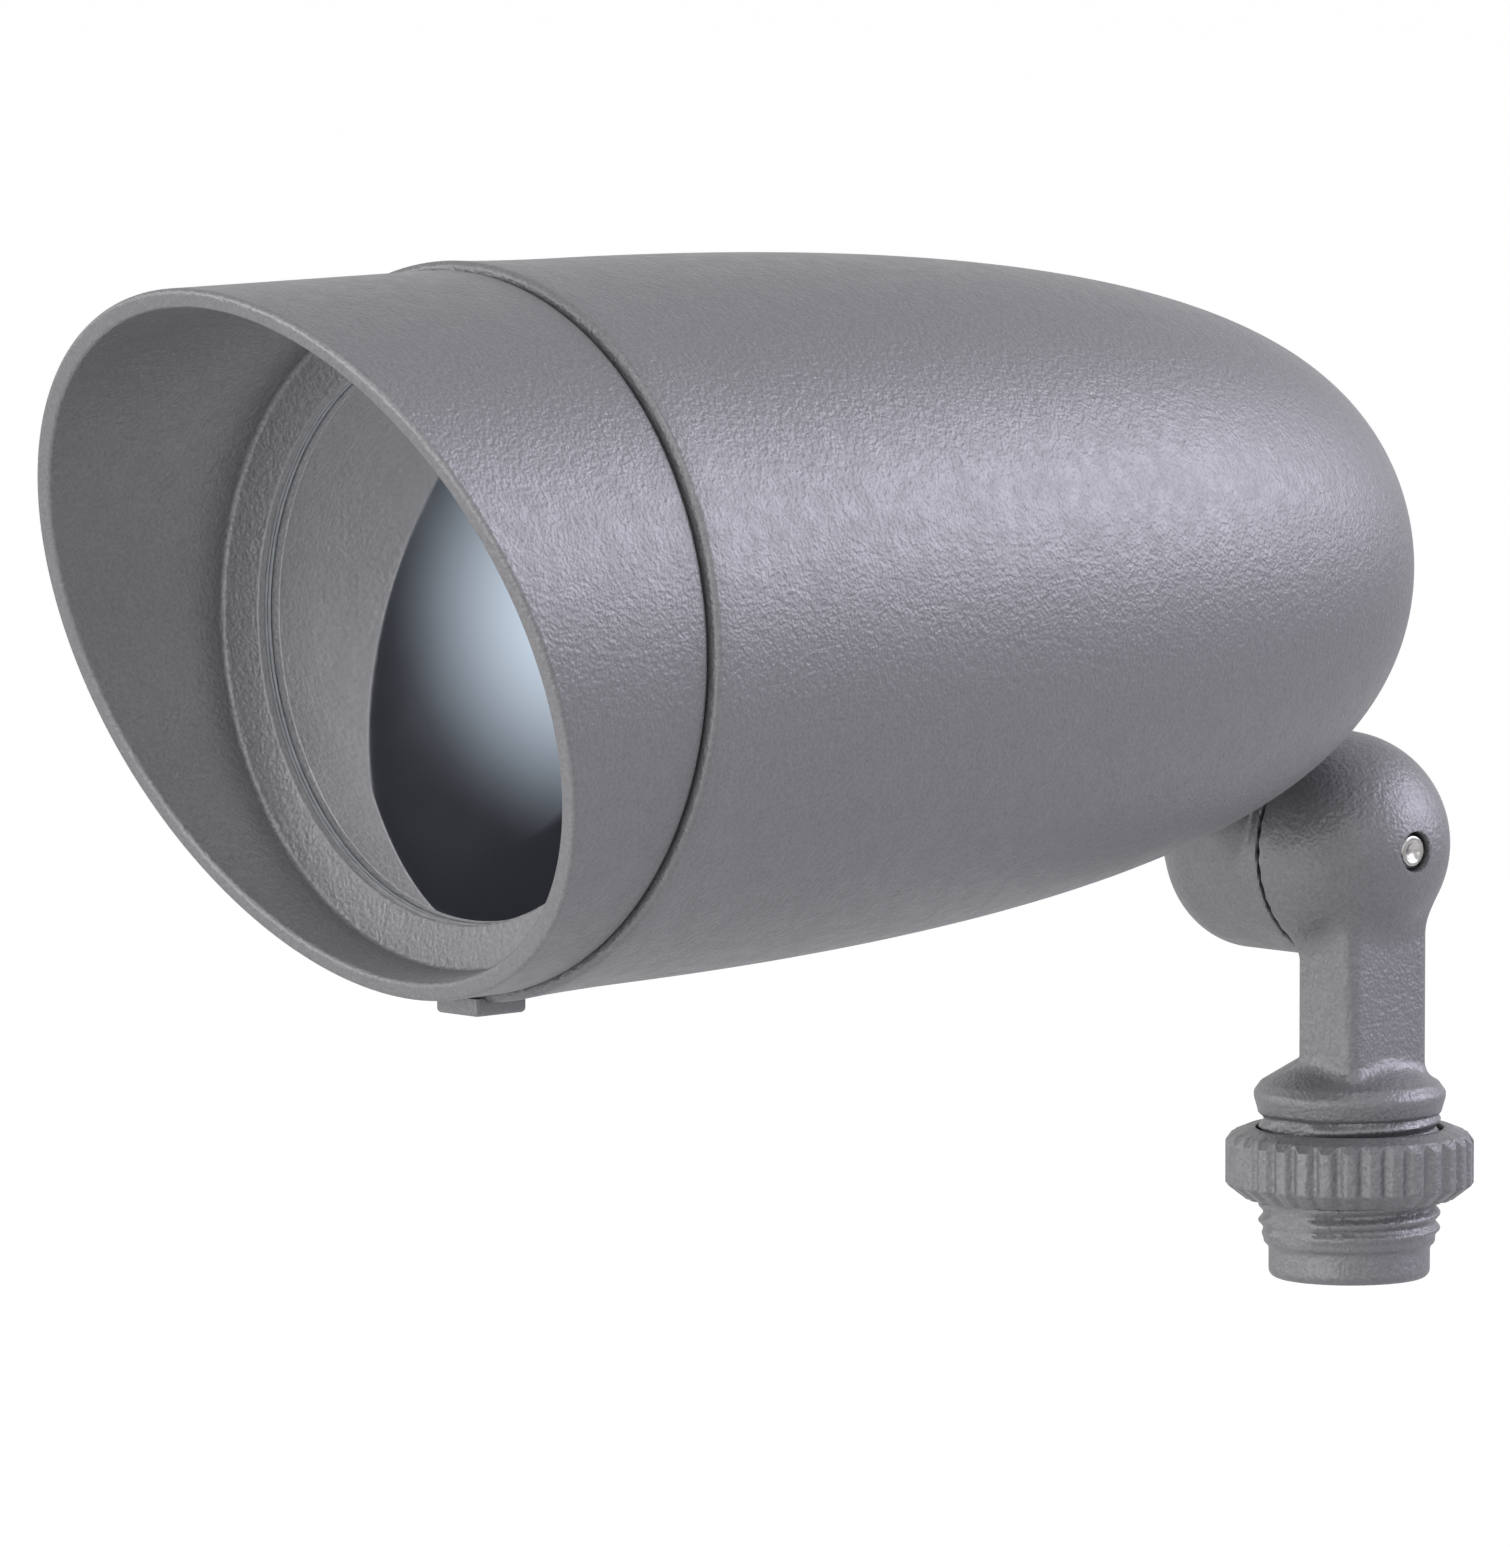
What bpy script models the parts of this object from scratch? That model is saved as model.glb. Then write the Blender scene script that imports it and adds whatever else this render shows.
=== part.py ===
"""Bullet floodlight with a slanted glare hood, on a toothed knuckle arm with a pipe thread.

Units are metres, +Z is up and the light aims along -Y. The origin is the middle of the
threaded end's bottom face.
"""
import math

import bmesh
import bpy
from mathutils import Vector

MM = 0.001

# General clearances
SEAT_GAP = 0.3 * MM
HOLE_GAP = 0.3 * MM
CUT_MARGIN = 2.0 * MM
MERGE_DISTANCE = 0.001 * MM

# Threaded end and collar, half-inch pipe size
THREAD_RADIUS = 10.5 * MM
THREAD_DEPTH = 1.2 * MM
THREAD_FLAT_DEPTH = 0.8 * MM
THREAD_TOP = 19.4 * MM
TIP_LENGTH = 3.9 * MM
TIP_CHAMFER = 0.8 * MM
FLANGE_WIDTH = 0.55 * MM
FLANGE_BOTTOM = 20.6 * MM
FLANGE_TOP = 22.4 * MM
COLLAR_WIDTH = 5.6 * MM
COLLAR_TOP = 25.7 * MM
INLET_WALL = 1.9 * MM
INLET_DEPTH = 15.0 * MM

# Locknut
NUT_WALL = 3.5 * MM
NUT_BOTTOM = 9.2 * MM
NUT_HEIGHT = 8.8 * MM
NUT_LOWER_CHAMFER = 2.1 * MM
NUT_UPPER_CHAMFER = 1.0 * MM
NUT_FACE_WIDTH = 0.9 * MM
NUT_RIBS = 32
NUT_RIB_DEPTH = 0.7 * MM
NUT_RIB_END_DEPTH = 0.4 * MM

# Stem of the knuckle arm
STEM_THICKNESS = 8.0 * MM
STEM_HALF_WIDTH = 6.7 * MM
STEM_ROUNDING = 1.9 * MM
WIRE_SLOT_WIDTH = 4.9 * MM
WIRE_SLOT_HALF_LENGTH = 3.9 * MM
WIRE_SLOT_ROUNDING = 2.2 * MM

# Toothed knuckle, its pivot axis is along X
PIVOT_HEIGHT = 50.0 * MM
SEAM_X = -2.2 * MM
DOME_RADIUS = 13.0 * MM
BOSS_PROUD = 0.1 * MM
BOSS_END_X = -21.5 * MM
BOSS_ROUNDING = 7.0 * MM
NECK_RADIUS = 9.0 * MM
NECK_REACH = 24.0 * MM
NECK_RISE = 20.0 * MM
NECK_INSET = 0.7 * MM
NECK_END_INSET = 3.5 * MM
NECK_ROUNDING = 4.0 * MM
TOOTH_COUNT = 36
TOOTH_HEIGHT = 0.5 * MM
TOOTH_GAP = 0.3 * MM
TOOTH_STEP = 0.1 * MM
TOOTH_ROOT = 0.6 * MM
TOOTH_EDGE = 0.2 * MM
TOOTH_LENGTH = 3.3 * MM
TOOTH_INSET = 0.6 * MM
DOME_HOLLOW_END_X = 5.3 * MM
BOSS_HOLLOW_END_X = -11.5 * MM
SEAL_WALL = 1.4 * MM
SEAL_LENGTH = 3.2 * MM
SEAL_OVERLAP = 0.9 * MM

# Clamp bolt, size M4, with its washer
BOLT_RADIUS = 2.0 * MM
BOLT_HEAD_RADIUS = 3.5 * MM
BOLT_HEAD_HEIGHT = 4.0 * MM
BOLT_TIP_RECESS = 0.5 * MM
BOLT_TIP_CHAMFER = 0.5 * MM
SOCKET_RADIUS = 1.6 * MM
SOCKET_DEPTH = 2.0 * MM
WASHER_RADIUS = 4.2 * MM
WASHER_THICKNESS = 0.8 * MM
BOLT_SEAT_X = -13.6 * MM

# Bullet housing, its axis runs along Y above the pivot
BODY_DROP = 6.2 * MM
REAR_SETBACK = 4.1 * MM
BODY_RADIUS = 40.2 * MM
BODY_LENGTH = 133.9 * MM
BODY_LENGTH_POWER = 2.35
BODY_RADIUS_POWER = 3.27
BODY_WALL = 2.9 * MM
BODY_EDGE = 0.5 * MM
MOUTH_FLARE = 0.5 * MM
LEDGE_WIDTH = 2.8 * MM
SCREW_BOSS_RADIUS = 4.0 * MM
SCREW_BOSS_INSET = 1.5 * MM
SCREW_BOSS_LENGTH = 13.0 * MM
SCREW_BOSS_STEP = 0.1 * MM
LUG_HALF_WIDTH = 3.4 * MM
LUG_LENGTH = 6.2 * MM
LUG_HEIGHT = 1.9 * MM
LUG_ROUNDING = 0.6 * MM
LUG_FRONT = 0.15 * MM
WIRE_PASSAGE_RADIUS = 2.8 * MM
GROMMET_WALL = 0.9 * MM
GROMMET_START = 9.6 * MM
GROMMET_LENGTH = 8.0 * MM

# Hood, cut off along a slant
HOOD_STEP = 1.1 * MM
HOOD_FLARE = 0.9 * MM
HOOD_RIM_WALL = 2.1 * MM
HOOD_RIM_ROUNDING = 0.5 * MM
HOOD_TOP_LENGTH = 40.2 * MM
HOOD_BOTTOM_LENGTH = 6.7 * MM
HOOD_WALL = 3.2 * MM
HOOD_SEAM_GAP = 0.3 * MM
HOOD_EDGE = 0.5 * MM
LIP_OVERLAP = 1.9 * MM
LIP_FRONT = 1.4 * MM
LIP_RISE = 0.9 * MM
LIP_THICKNESS = 1.0 * MM
SPIGOT_WALL = 2.8 * MM
SPIGOT_LENGTH = 14.0 * MM
SPIGOT_CHAMFER = 0.5 * MM
GROOVE_START = 6.5 * MM
GROOVE_WIDTH = 2.6 * MM
GROOVE_DEPTH = 1.8 * MM

# Lens stack inside the hood's spigot
GASKET_WIDTH = 1.7 * MM
GASKET_THICKNESS = 0.7 * MM
LENS_THICKNESS = 3.0 * MM
LENS_CHAMFER = 0.4 * MM
RETAINER_WIDTH = 2.9 * MM
RETAINER_THICKNESS = 2.2 * MM
RETAINER_NOTCH = 3.0 * MM
RETAINER_NOTCH_DEPTH = 1.0 * MM

# Reflector and light source
REFLECTOR_NECK_RADIUS = 10.5 * MM
REFLECTOR_DEPTH = 27.7 * MM
REFLECTOR_WALL = 1.2 * MM
REFLECTOR_FLANGE = 1.6 * MM
HOLDER_RADIUS = 21.5 * MM
HOLDER_HEIGHT = 4.0 * MM
HOLDER_HOLE_RADIUS = 9.8 * MM
HOLDER_SCREW_OFFSET = 17.5 * MM
PAD_HALF_WIDTH = 11.5 * MM
PAD_THICKNESS = 0.4 * MM
BOARD_HALF_WIDTH = 12.0 * MM
BOARD_THICKNESS = 1.2 * MM
EMITTER_RADIUS = 8.7 * MM
EMITTER_HEIGHT = 0.8 * MM
SPREADER_THICKNESS = 5.0 * MM
SPREADER_WIRE_HOLE_RADIUS = 4.0 * MM
SPREADER_WIRE_HOLE_OFFSET = 27.0 * MM

# Driver behind the heat spreader
DRIVER_HALF_WIDTH = 15.0 * MM
DRIVER_HALF_HEIGHT = 14.0 * MM
DRIVER_LENGTH = 46.0 * MM
DRIVER_ROUNDING = 2.0 * MM
DRIVER_EAR_LENGTH = 9.0 * MM
DRIVER_EAR_HALF_HEIGHT = 5.0 * MM
DRIVER_EAR_THICKNESS = 2.0 * MM

# Small machine screws, size M3, and the hood's set screw, size M4
SCREW_RADIUS = 1.5 * MM
SCREW_HEAD_RADIUS = 2.75 * MM
SCREW_HEAD_HEIGHT = 1.8 * MM
SCREW_RECESS_RADIUS = 1.0 * MM
SCREW_RECESS_DEPTH = 0.9 * MM
HOLDER_SCREW_BITE = 3.5 * MM
SPREADER_SCREW_BITE = 7.0 * MM
DRIVER_SCREW_BITE = 3.0 * MM
SET_SCREW_RADIUS = 2.0 * MM
SET_SCREW_SINK = 0.5 * MM
SET_SCREW_SETBACK = 3.3 * MM

# Facets
HEAD_SEGMENTS = 48
RING_SEGMENTS = 40
SHAFT_SEGMENTS = 36
SMALL_SEGMENTS = 10
BULLET_STEPS = 13
CAVITY_STEPS = 7
BOWL_STEPS = 5
O_RING_STEPS = 6
ARC_STEPS = 4
SMOOTH_ANGLE = math.radians(34)
CUTTER_PHASE = math.radians(1.7)

# Sizes that follow from the ones above
TIP_RADIUS = THREAD_RADIUS - THREAD_DEPTH
THREAD_FLAT_OFFSET = THREAD_RADIUS - THREAD_FLAT_DEPTH
FLANGE_RADIUS = THREAD_RADIUS + FLANGE_WIDTH
COLLAR_NECK_RADIUS = FLANGE_RADIUS - COLLAR_WIDTH
INLET_RADIUS = TIP_RADIUS - INLET_WALL
NUT_BORE_RADIUS = THREAD_RADIUS + HOLE_GAP
NUT_RADIUS = NUT_BORE_RADIUS + NUT_WALL
BOSS_RADIUS = DOME_RADIUS + BOSS_PROUD
TOOTH_OUTER_RADIUS = DOME_RADIUS - TOOTH_EDGE
TOOTH_INNER_RADIUS = TOOTH_OUTER_RADIUS - TOOTH_LENGTH
KNUCKLE_HOLLOW_RADIUS = TOOTH_INNER_RADIUS - TOOTH_INSET
HEAD_RISE = BODY_RADIUS - BODY_DROP
SEAM_REACH = BODY_LENGTH + REAR_SETBACK
BORE_RADIUS = BODY_RADIUS - BODY_WALL
CORE_RADIUS = BORE_RADIUS - LEDGE_WIDTH
SPREADER_SCREW_OFFSET = CORE_RADIUS - SCREW_BOSS_INSET
MOUTH_RADIUS = BODY_RADIUS + MOUTH_FLARE
HOOD_BACK_RADIUS = MOUTH_RADIUS - HOOD_STEP
HOOD_FRONT_RADIUS = HOOD_BACK_RADIUS + HOOD_FLARE
HOOD_INNER_RADIUS = BODY_RADIUS - HOOD_WALL
SPIGOT_RADIUS = BORE_RADIUS - HOLE_GAP
SPIGOT_INNER_RADIUS = SPIGOT_RADIUS - SPIGOT_WALL
LIP_BACK = LIP_FRONT - LIP_THICKNESS
LENS_RADIUS = SPIGOT_INNER_RADIUS - HOLE_GAP
LIP_RADIUS = LENS_RADIUS - LIP_OVERLAP
REFLECTOR_RADIUS = LENS_RADIUS - RETAINER_WIDTH
GASKET_FRONT = LIP_BACK - SEAT_GAP
LENS_FRONT = GASKET_FRONT - GASKET_THICKNESS - SEAT_GAP
RETAINER_FRONT = LENS_FRONT - LENS_THICKNESS - SEAT_GAP
REFLECTOR_FRONT = RETAINER_FRONT - RETAINER_THICKNESS - SEAT_GAP
HOLDER_FRONT = REFLECTOR_FRONT - REFLECTOR_DEPTH - SEAT_GAP
HOLDER_BACK = HOLDER_FRONT - HOLDER_HEIGHT
SPREADER_FRONT = HOLDER_BACK - SEAT_GAP
SPREADER_BACK = SPREADER_FRONT - SPREADER_THICKNESS
LEDGE = SPREADER_BACK - SEAT_GAP
PAD_FRONT = SPREADER_FRONT + SEAT_GAP + PAD_THICKNESS
BOARD_FRONT = PAD_FRONT + SEAT_GAP + BOARD_THICKNESS
EMITTER_FRONT = BOARD_FRONT + SEAT_GAP + EMITTER_HEIGHT
DRIVER_FRONT = SPREADER_BACK - SEAT_GAP
EAR_OFFSET = DRIVER_HALF_WIDTH + DRIVER_EAR_LENGTH / 2
DOME_FACE_X = SEAM_X + TOOTH_GAP / 2 + TOOTH_HEIGHT + TOOTH_STEP
BOSS_FACE_X = SEAM_X - TOOTH_GAP / 2 - TOOTH_HEIGHT - TOOTH_STEP
STEM_BACK_X = DOME_FACE_X + TOOTH_STEP / 2
STEM_MIDDLE_X = STEM_BACK_X + STEM_THICKNESS / 2
DOME_POLE_X = SEAM_X + DOME_RADIUS
NECK_FACE_X = BOSS_FACE_X - NECK_INSET
NECK_END_X = BOSS_END_X + NECK_END_INSET
NECK_DIRECTION = Vector((0.0, -NECK_REACH, NECK_RISE)).normalized()
PASSAGE_X = BOSS_HOLLOW_END_X + WIRE_PASSAGE_RADIUS + HOLE_GAP
LAMP_AXIS = Vector((0.0, 0.0, 1.0))


def clear_scene():
    for item in list(bpy.data.objects):
        bpy.data.objects.remove(item)


def material(name, colour, roughness, metallic):
    finish = bpy.data.materials.new(name)
    finish.use_nodes = True
    shader = finish.node_tree.nodes["Principled BSDF"]
    shader.inputs["Base Color"].default_value = (*colour, 1.0)
    shader.inputs["Roughness"].default_value = roughness
    shader.inputs["Metallic"].default_value = metallic
    finish.diffuse_color = (*colour, 1.0)
    return finish


def empty(name, location, rotation=(0.0, 0.0, 0.0), parent=None):
    guide = bpy.data.objects.new(name, None)
    guide.location = location
    guide.rotation_euler = rotation
    guide.parent = parent
    bpy.context.scene.collection.objects.link(guide)
    return guide


def solid(name, bm, parent=None, location=(0.0, 0.0, 0.0), direction=LAMP_AXIS):
    """Turn a bmesh into an object whose own Z axis points along direction in its parent."""
    bmesh.ops.remove_doubles(bm, verts=bm.verts, dist=MERGE_DISTANCE)
    bmesh.ops.recalc_face_normals(bm, faces=bm.faces)
    mesh = bpy.data.meshes.new(name)
    bm.to_mesh(mesh)
    bm.free()
    piece = bpy.data.objects.new(name, mesh)
    piece.parent = parent
    piece.location = location
    piece.rotation_euler = LAMP_AXIS.rotation_difference(Vector(direction)).to_euler()
    bpy.context.scene.collection.objects.link(piece)
    return piece


def combine(target, tools, operation):
    """Join the tools to the target or cut them out of it, and remove them."""
    for tool in tools:
        modifier = target.modifiers.new(tool.name, "BOOLEAN")
        modifier.operation = operation
        modifier.object = tool
    bpy.context.view_layer.update()
    depsgraph = bpy.context.evaluated_depsgraph_get()
    result = bpy.data.meshes.new_from_object(target.evaluated_get(depsgraph))
    target.modifiers.clear()
    target.data = result
    for tool in tools:
        bpy.data.objects.remove(tool)


def finish_piece(piece, finish):
    mesh = piece.data
    mesh.name = piece.name
    mesh.materials.clear()
    mesh.materials.append(finish)
    mesh.shade_smooth()
    mesh.set_sharp_from_angle(angle=SMOOTH_ANGLE)


def turned(profile, segments, ring=False, phase=0.0):
    """Turn a profile of (radius, height) points about Z.

    A ring's profile closes on itself. Otherwise an end off the axis gets a flat cap.
    """
    bm = bmesh.new()
    turns = [phase + math.tau * i / segments for i in range(segments)]
    rows = []
    for radius, height in profile:
        places = turns if radius > 0.0 else [0.0]
        rows.append([bm.verts.new((radius * math.cos(a), radius * math.sin(a), height)) for a in places])
    pairs = list(zip(rows, rows[1:]))
    if ring:
        pairs.append((rows[-1], rows[0]))
    for row, following in pairs:
        for i in range(segments):
            j = (i + 1) % segments
            if len(row) == 1:
                bm.faces.new((row[0], following[j], following[i]))
            elif len(following) == 1:
                bm.faces.new((row[i], row[j], following[0]))
            else:
                bm.faces.new((row[i], row[j], following[j], following[i]))
    if not ring:
        for row in (rows[0], rows[-1]):
            if len(row) > 1:
                bm.faces.new(row)
    return bm


def cylinder(radius, start, end, segments, phase=0.0):
    return turned([(radius, start), (radius, end)], segments, phase=phase)


def cutter(name, radius, start, end, segments, parent=None, location=(0.0, 0.0, 0.0), direction=LAMP_AXIS):
    """A cylinder to cut with, its facets turned off those of the piece it cuts."""
    return solid(name, cylinder(radius, start, end, segments, CUTTER_PHASE), parent, location, direction)


def tube(inner, outer, start, end, segments):
    return turned([(inner, start), (outer, start), (outer, end), (inner, end)], segments, ring=True)


def swept_ring(sections):
    """Join closed cross sections, one for each step of a full turn, into a ring."""
    bm = bmesh.new()
    rows = [[bm.verts.new(point) for point in section] for section in sections]
    count = len(rows[0])
    for row, following in zip(rows, rows[1:] + rows[:1]):
        for i in range(count):
            j = (i + 1) % count
            bm.faces.new((row[i], row[j], following[j], following[i]))
    return bm


def lofted(sections):
    """Skin closed outlines one after another, with flat ends."""
    bm = bmesh.new()
    rows = [[bm.verts.new(point) for point in section] for section in sections]
    count = len(rows[0])
    for row, following in zip(rows, rows[1:]):
        for i in range(count):
            j = (i + 1) % count
            bm.faces.new((row[i], row[j], following[j], following[i]))
    bm.faces.new(rows[0])
    bm.faces.new(rows[-1])
    return bm


def block(low, high, rounding=0.0, rounded_axis=2):
    """A box between two corners, with the edges along one axis rounded."""
    bm = bmesh.new()
    bmesh.ops.create_cube(bm, size=1.0)
    low = Vector(low)
    high = Vector(high)
    bmesh.ops.scale(bm, vec=high - low, verts=bm.verts)
    bmesh.ops.translate(bm, vec=(low + high) / 2, verts=bm.verts)
    if rounding > 0.0:
        edges = []
        for edge in bm.edges:
            along = edge.verts[1].co - edge.verts[0].co
            if abs(along[rounded_axis]) > 0.99 * along.length:
                edges.append(edge)
        bmesh.ops.bevel(bm, geom=edges, offset=rounding, segments=ARC_STEPS, profile=0.5, affect="EDGES")
    return bm


def screw(name, parent, location, direction, bite, finish):
    """A pan-head screw: location is the seat of its head, direction points from shank to head."""
    profile = [
        (SCREW_RECESS_RADIUS, SEAT_GAP + SCREW_HEAD_HEIGHT - SCREW_RECESS_DEPTH),
        (SCREW_RECESS_RADIUS, SEAT_GAP + SCREW_HEAD_HEIGHT),
        (SCREW_HEAD_RADIUS * 0.75, SEAT_GAP + SCREW_HEAD_HEIGHT),
        (SCREW_HEAD_RADIUS, SEAT_GAP + SCREW_HEAD_HEIGHT * 0.5),
        (SCREW_HEAD_RADIUS, SEAT_GAP),
        (SCREW_RADIUS, SEAT_GAP),
        (SCREW_RADIUS, -bite),
    ]
    piece = solid(name, turned(profile, SMALL_SEGMENTS), parent, location, direction)
    finish_piece(piece, finish)


def screw_hole(parent, location, direction, depth):
    return cutter(
        "screw_hole", SCREW_RADIUS + HOLE_GAP, -depth, CUT_MARGIN, SMALL_SEGMENTS, parent, location, direction)


def bullet_curve(radius, length, steps):
    """Points from the seam plane to the rear pole of the bullet shape."""
    points = []
    for i in range(steps):
        angle = 0.5 * math.pi * i / steps
        reach = math.sin(angle) ** (2.0 / BODY_LENGTH_POWER)
        width = math.cos(angle) ** (2.0 / BODY_RADIUS_POWER)
        points.append((radius * width, -length * reach))
    points.append((0.0, -length))
    return points


def spreader_screw_places():
    turns = [math.radians(90 + 120 * i) for i in range(3)]
    return [(SPREADER_SCREW_OFFSET * math.cos(a), SPREADER_SCREW_OFFSET * math.sin(a)) for a in turns]


# Knuckle


def knuckle_boss(axis):
    """A round boss about the pivot, with a well-rounded end on its -X side."""
    profile = [(BOSS_RADIUS, BOSS_FACE_X)]
    for i in range(ARC_STEPS + 1):
        angle = 0.5 * math.pi * i / ARC_STEPS
        radius = BOSS_RADIUS - BOSS_ROUNDING * (1.0 - math.cos(angle))
        profile.append((radius, BOSS_END_X + BOSS_ROUNDING * (1.0 - math.sin(angle))))
    return solid("boss", turned(profile, SHAFT_SEGMENTS), axis)


def neck_outline(shrink, x):
    """Outline of the neck: a half circle at each end of the line from the pivot into the housing."""
    radius = NECK_RADIUS - shrink
    heading = math.atan2(NECK_RISE, -NECK_REACH)
    steps = 2 * ARC_STEPS
    points = []
    for y, z, turn in ((0.0, 0.0, 0.5 * math.pi), (-NECK_REACH, NECK_RISE, -0.5 * math.pi)):
        for i in range(steps + 1):
            angle = heading + turn + math.pi * i / steps
            points.append((x, y + radius * math.cos(angle), z + radius * math.sin(angle)))
    return points


def knuckle_neck(pivot):
    steps = ARC_STEPS // 2
    sections = []
    for i in range(steps + 1):
        angle = 0.5 * math.pi * i / steps
        shrink = NECK_ROUNDING * (1.0 - math.sin(angle))
        sections.append(neck_outline(shrink, NECK_FACE_X - NECK_ROUNDING * (1.0 - math.cos(angle))))
    for i in range(steps + 1):
        angle = 0.5 * math.pi * i / steps
        shrink = NECK_ROUNDING * (1.0 - math.cos(angle))
        sections.append(neck_outline(shrink, NECK_END_X + NECK_ROUNDING * (1.0 - math.sin(angle))))
    return solid("neck", lofted(sections), pivot)


def tooth_ring(axis, crest, facing):
    """Radial teeth on a ring. Facing is 1 where the crests point along +X, else -1."""
    valley = crest - facing * TOOTH_HEIGHT
    root = valley - facing * (TOOTH_STEP + TOOTH_ROOT)
    sections = []
    for i in range(2 * TOOTH_COUNT):
        angle = math.tau * i / (2 * TOOTH_COUNT)
        top = crest if i % 2 == 0 else valley
        outline = [
            (TOOTH_OUTER_RADIUS, root), (TOOTH_OUTER_RADIUS, top),
            (TOOTH_INNER_RADIUS, top), (TOOTH_INNER_RADIUS, root),
        ]
        sections.append([(r * math.cos(angle), r * math.sin(angle), x) for r, x in outline])
    return solid("teeth", swept_ring(sections), axis)


def stem_outline(z):
    """Outline of the stem: a rectangle with its two front corners rounded."""
    points = [(STEM_BACK_X, STEM_HALF_WIDTH, z), (STEM_BACK_X, -STEM_HALF_WIDTH, z)]
    x = STEM_BACK_X + STEM_THICKNESS - STEM_ROUNDING
    y = STEM_HALF_WIDTH - STEM_ROUNDING
    for side in (-1, 1):
        for i in range(ARC_STEPS + 1):
            angle = 0.5 * math.pi * (i / ARC_STEPS + (side - 1) / 2)
            points.append((x + STEM_ROUNDING * math.cos(angle), side * y + STEM_ROUNDING * math.sin(angle), z))
    return points


def knuckle_arm(axis, finish):
    profile = [
        (TIP_RADIUS - TIP_CHAMFER, 0.0),
        (TIP_RADIUS, TIP_CHAMFER),
        (TIP_RADIUS, TIP_LENGTH),
        (THREAD_RADIUS, TIP_LENGTH + THREAD_RADIUS - TIP_RADIUS),
        (THREAD_RADIUS, THREAD_TOP),
        (FLANGE_RADIUS, FLANGE_BOTTOM),
        (FLANGE_RADIUS, FLANGE_TOP),
        (COLLAR_NECK_RADIUS, COLLAR_TOP),
    ]
    arm = solid("knuckle_arm", turned(profile, SHAFT_SEGMENTS))
    flat_end = THREAD_RADIUS + CUT_MARGIN
    flats = []
    for side in (-1, 1):
        near = side * THREAD_FLAT_OFFSET
        far = side * flat_end
        low = (-flat_end, min(near, far), TIP_LENGTH)
        high = (flat_end, max(near, far), THREAD_TOP)
        flats.append(solid("flat", block(low, high)))
    combine(arm, flats, "DIFFERENCE")

    low = (FLANGE_BOTTOM + FLANGE_TOP) / 2
    high = PIVOT_HEIGHT - KNUCKLE_HOLLOW_RADIUS
    stem = solid("stem", lofted([stem_outline(low), stem_outline(high)]))
    dome_profile = []
    start = math.asin((DOME_FACE_X - SEAM_X) / DOME_RADIUS)
    steps = 2 * ARC_STEPS
    for i in range(steps):
        angle = start + (0.5 * math.pi - start) * i / steps
        dome_profile.append((DOME_RADIUS * math.cos(angle), SEAM_X + DOME_RADIUS * math.sin(angle)))
    dome_profile.append((0.0, DOME_POLE_X))
    dome = solid("dome", turned(dome_profile, SHAFT_SEGMENTS), axis)
    teeth = tooth_ring(axis, SEAM_X + TOOTH_GAP / 2, -1)
    combine(arm, [stem, dome, teeth], "UNION")

    inlet = cutter("inlet", INLET_RADIUS, -CUT_MARGIN, INLET_DEPTH, SHAFT_SEGMENTS)
    slot = solid("slot", block(
        (STEM_MIDDLE_X - WIRE_SLOT_WIDTH / 2, -WIRE_SLOT_HALF_LENGTH, INLET_DEPTH - CUT_MARGIN),
        (STEM_MIDDLE_X + WIRE_SLOT_WIDTH / 2, WIRE_SLOT_HALF_LENGTH, PIVOT_HEIGHT - KNUCKLE_HOLLOW_RADIUS / 2),
        WIRE_SLOT_ROUNDING,
    ))
    hollow = cutter(
        "hollow", KNUCKLE_HOLLOW_RADIUS, SEAM_X - CUT_MARGIN, DOME_HOLLOW_END_X, SHAFT_SEGMENTS, axis)
    bolt_hole = cutter(
        "bolt_hole", BOLT_RADIUS + HOLE_GAP, SEAM_X, DOME_POLE_X + CUT_MARGIN, SHAFT_SEGMENTS // 2, axis)
    combine(arm, [inlet, slot, hollow, bolt_hole], "DIFFERENCE")
    finish_piece(arm, finish)


def locknut(parent, finish):
    top = NUT_BOTTOM + NUT_HEIGHT
    face = NUT_BORE_RADIUS + NUT_FACE_WIDTH
    sections = []
    per_rib = 3
    for i in range(NUT_RIBS * per_rib):
        angle = math.tau * i / (NUT_RIBS * per_rib)
        groove = i % per_rib == 0
        depth = NUT_RIB_DEPTH if groove else 0.0
        end_depth = NUT_RIB_END_DEPTH if groove else 0.0
        outline = [
            (NUT_BORE_RADIUS, NUT_BOTTOM),
            (face - end_depth, NUT_BOTTOM),
            (NUT_RADIUS - depth, NUT_BOTTOM + NUT_LOWER_CHAMFER),
            (NUT_RADIUS - depth, top - NUT_UPPER_CHAMFER),
            (face, top),
            (NUT_BORE_RADIUS, top),
        ]
        sections.append([(r * math.cos(angle), r * math.sin(angle), z) for r, z in outline])
    finish_piece(solid("locknut", swept_ring(sections), parent), finish)


def clamp_bolt(axis, finish):
    head_front = BOLT_SEAT_X - WASHER_THICKNESS - 2 * SEAT_GAP
    head_back = head_front - BOLT_HEAD_HEIGHT
    tip = DOME_POLE_X - BOLT_TIP_RECESS
    profile = [
        (BOLT_RADIUS - BOLT_TIP_CHAMFER, tip),
        (BOLT_RADIUS, tip - BOLT_TIP_CHAMFER),
        (BOLT_RADIUS, head_front),
        (BOLT_HEAD_RADIUS, head_front),
        (BOLT_HEAD_RADIUS, head_back),
        (SOCKET_RADIUS, head_back),
        (SOCKET_RADIUS, head_back + SOCKET_DEPTH),
    ]
    finish_piece(solid("clamp_bolt", turned(profile, SHAFT_SEGMENTS // 2), axis), finish)


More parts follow.
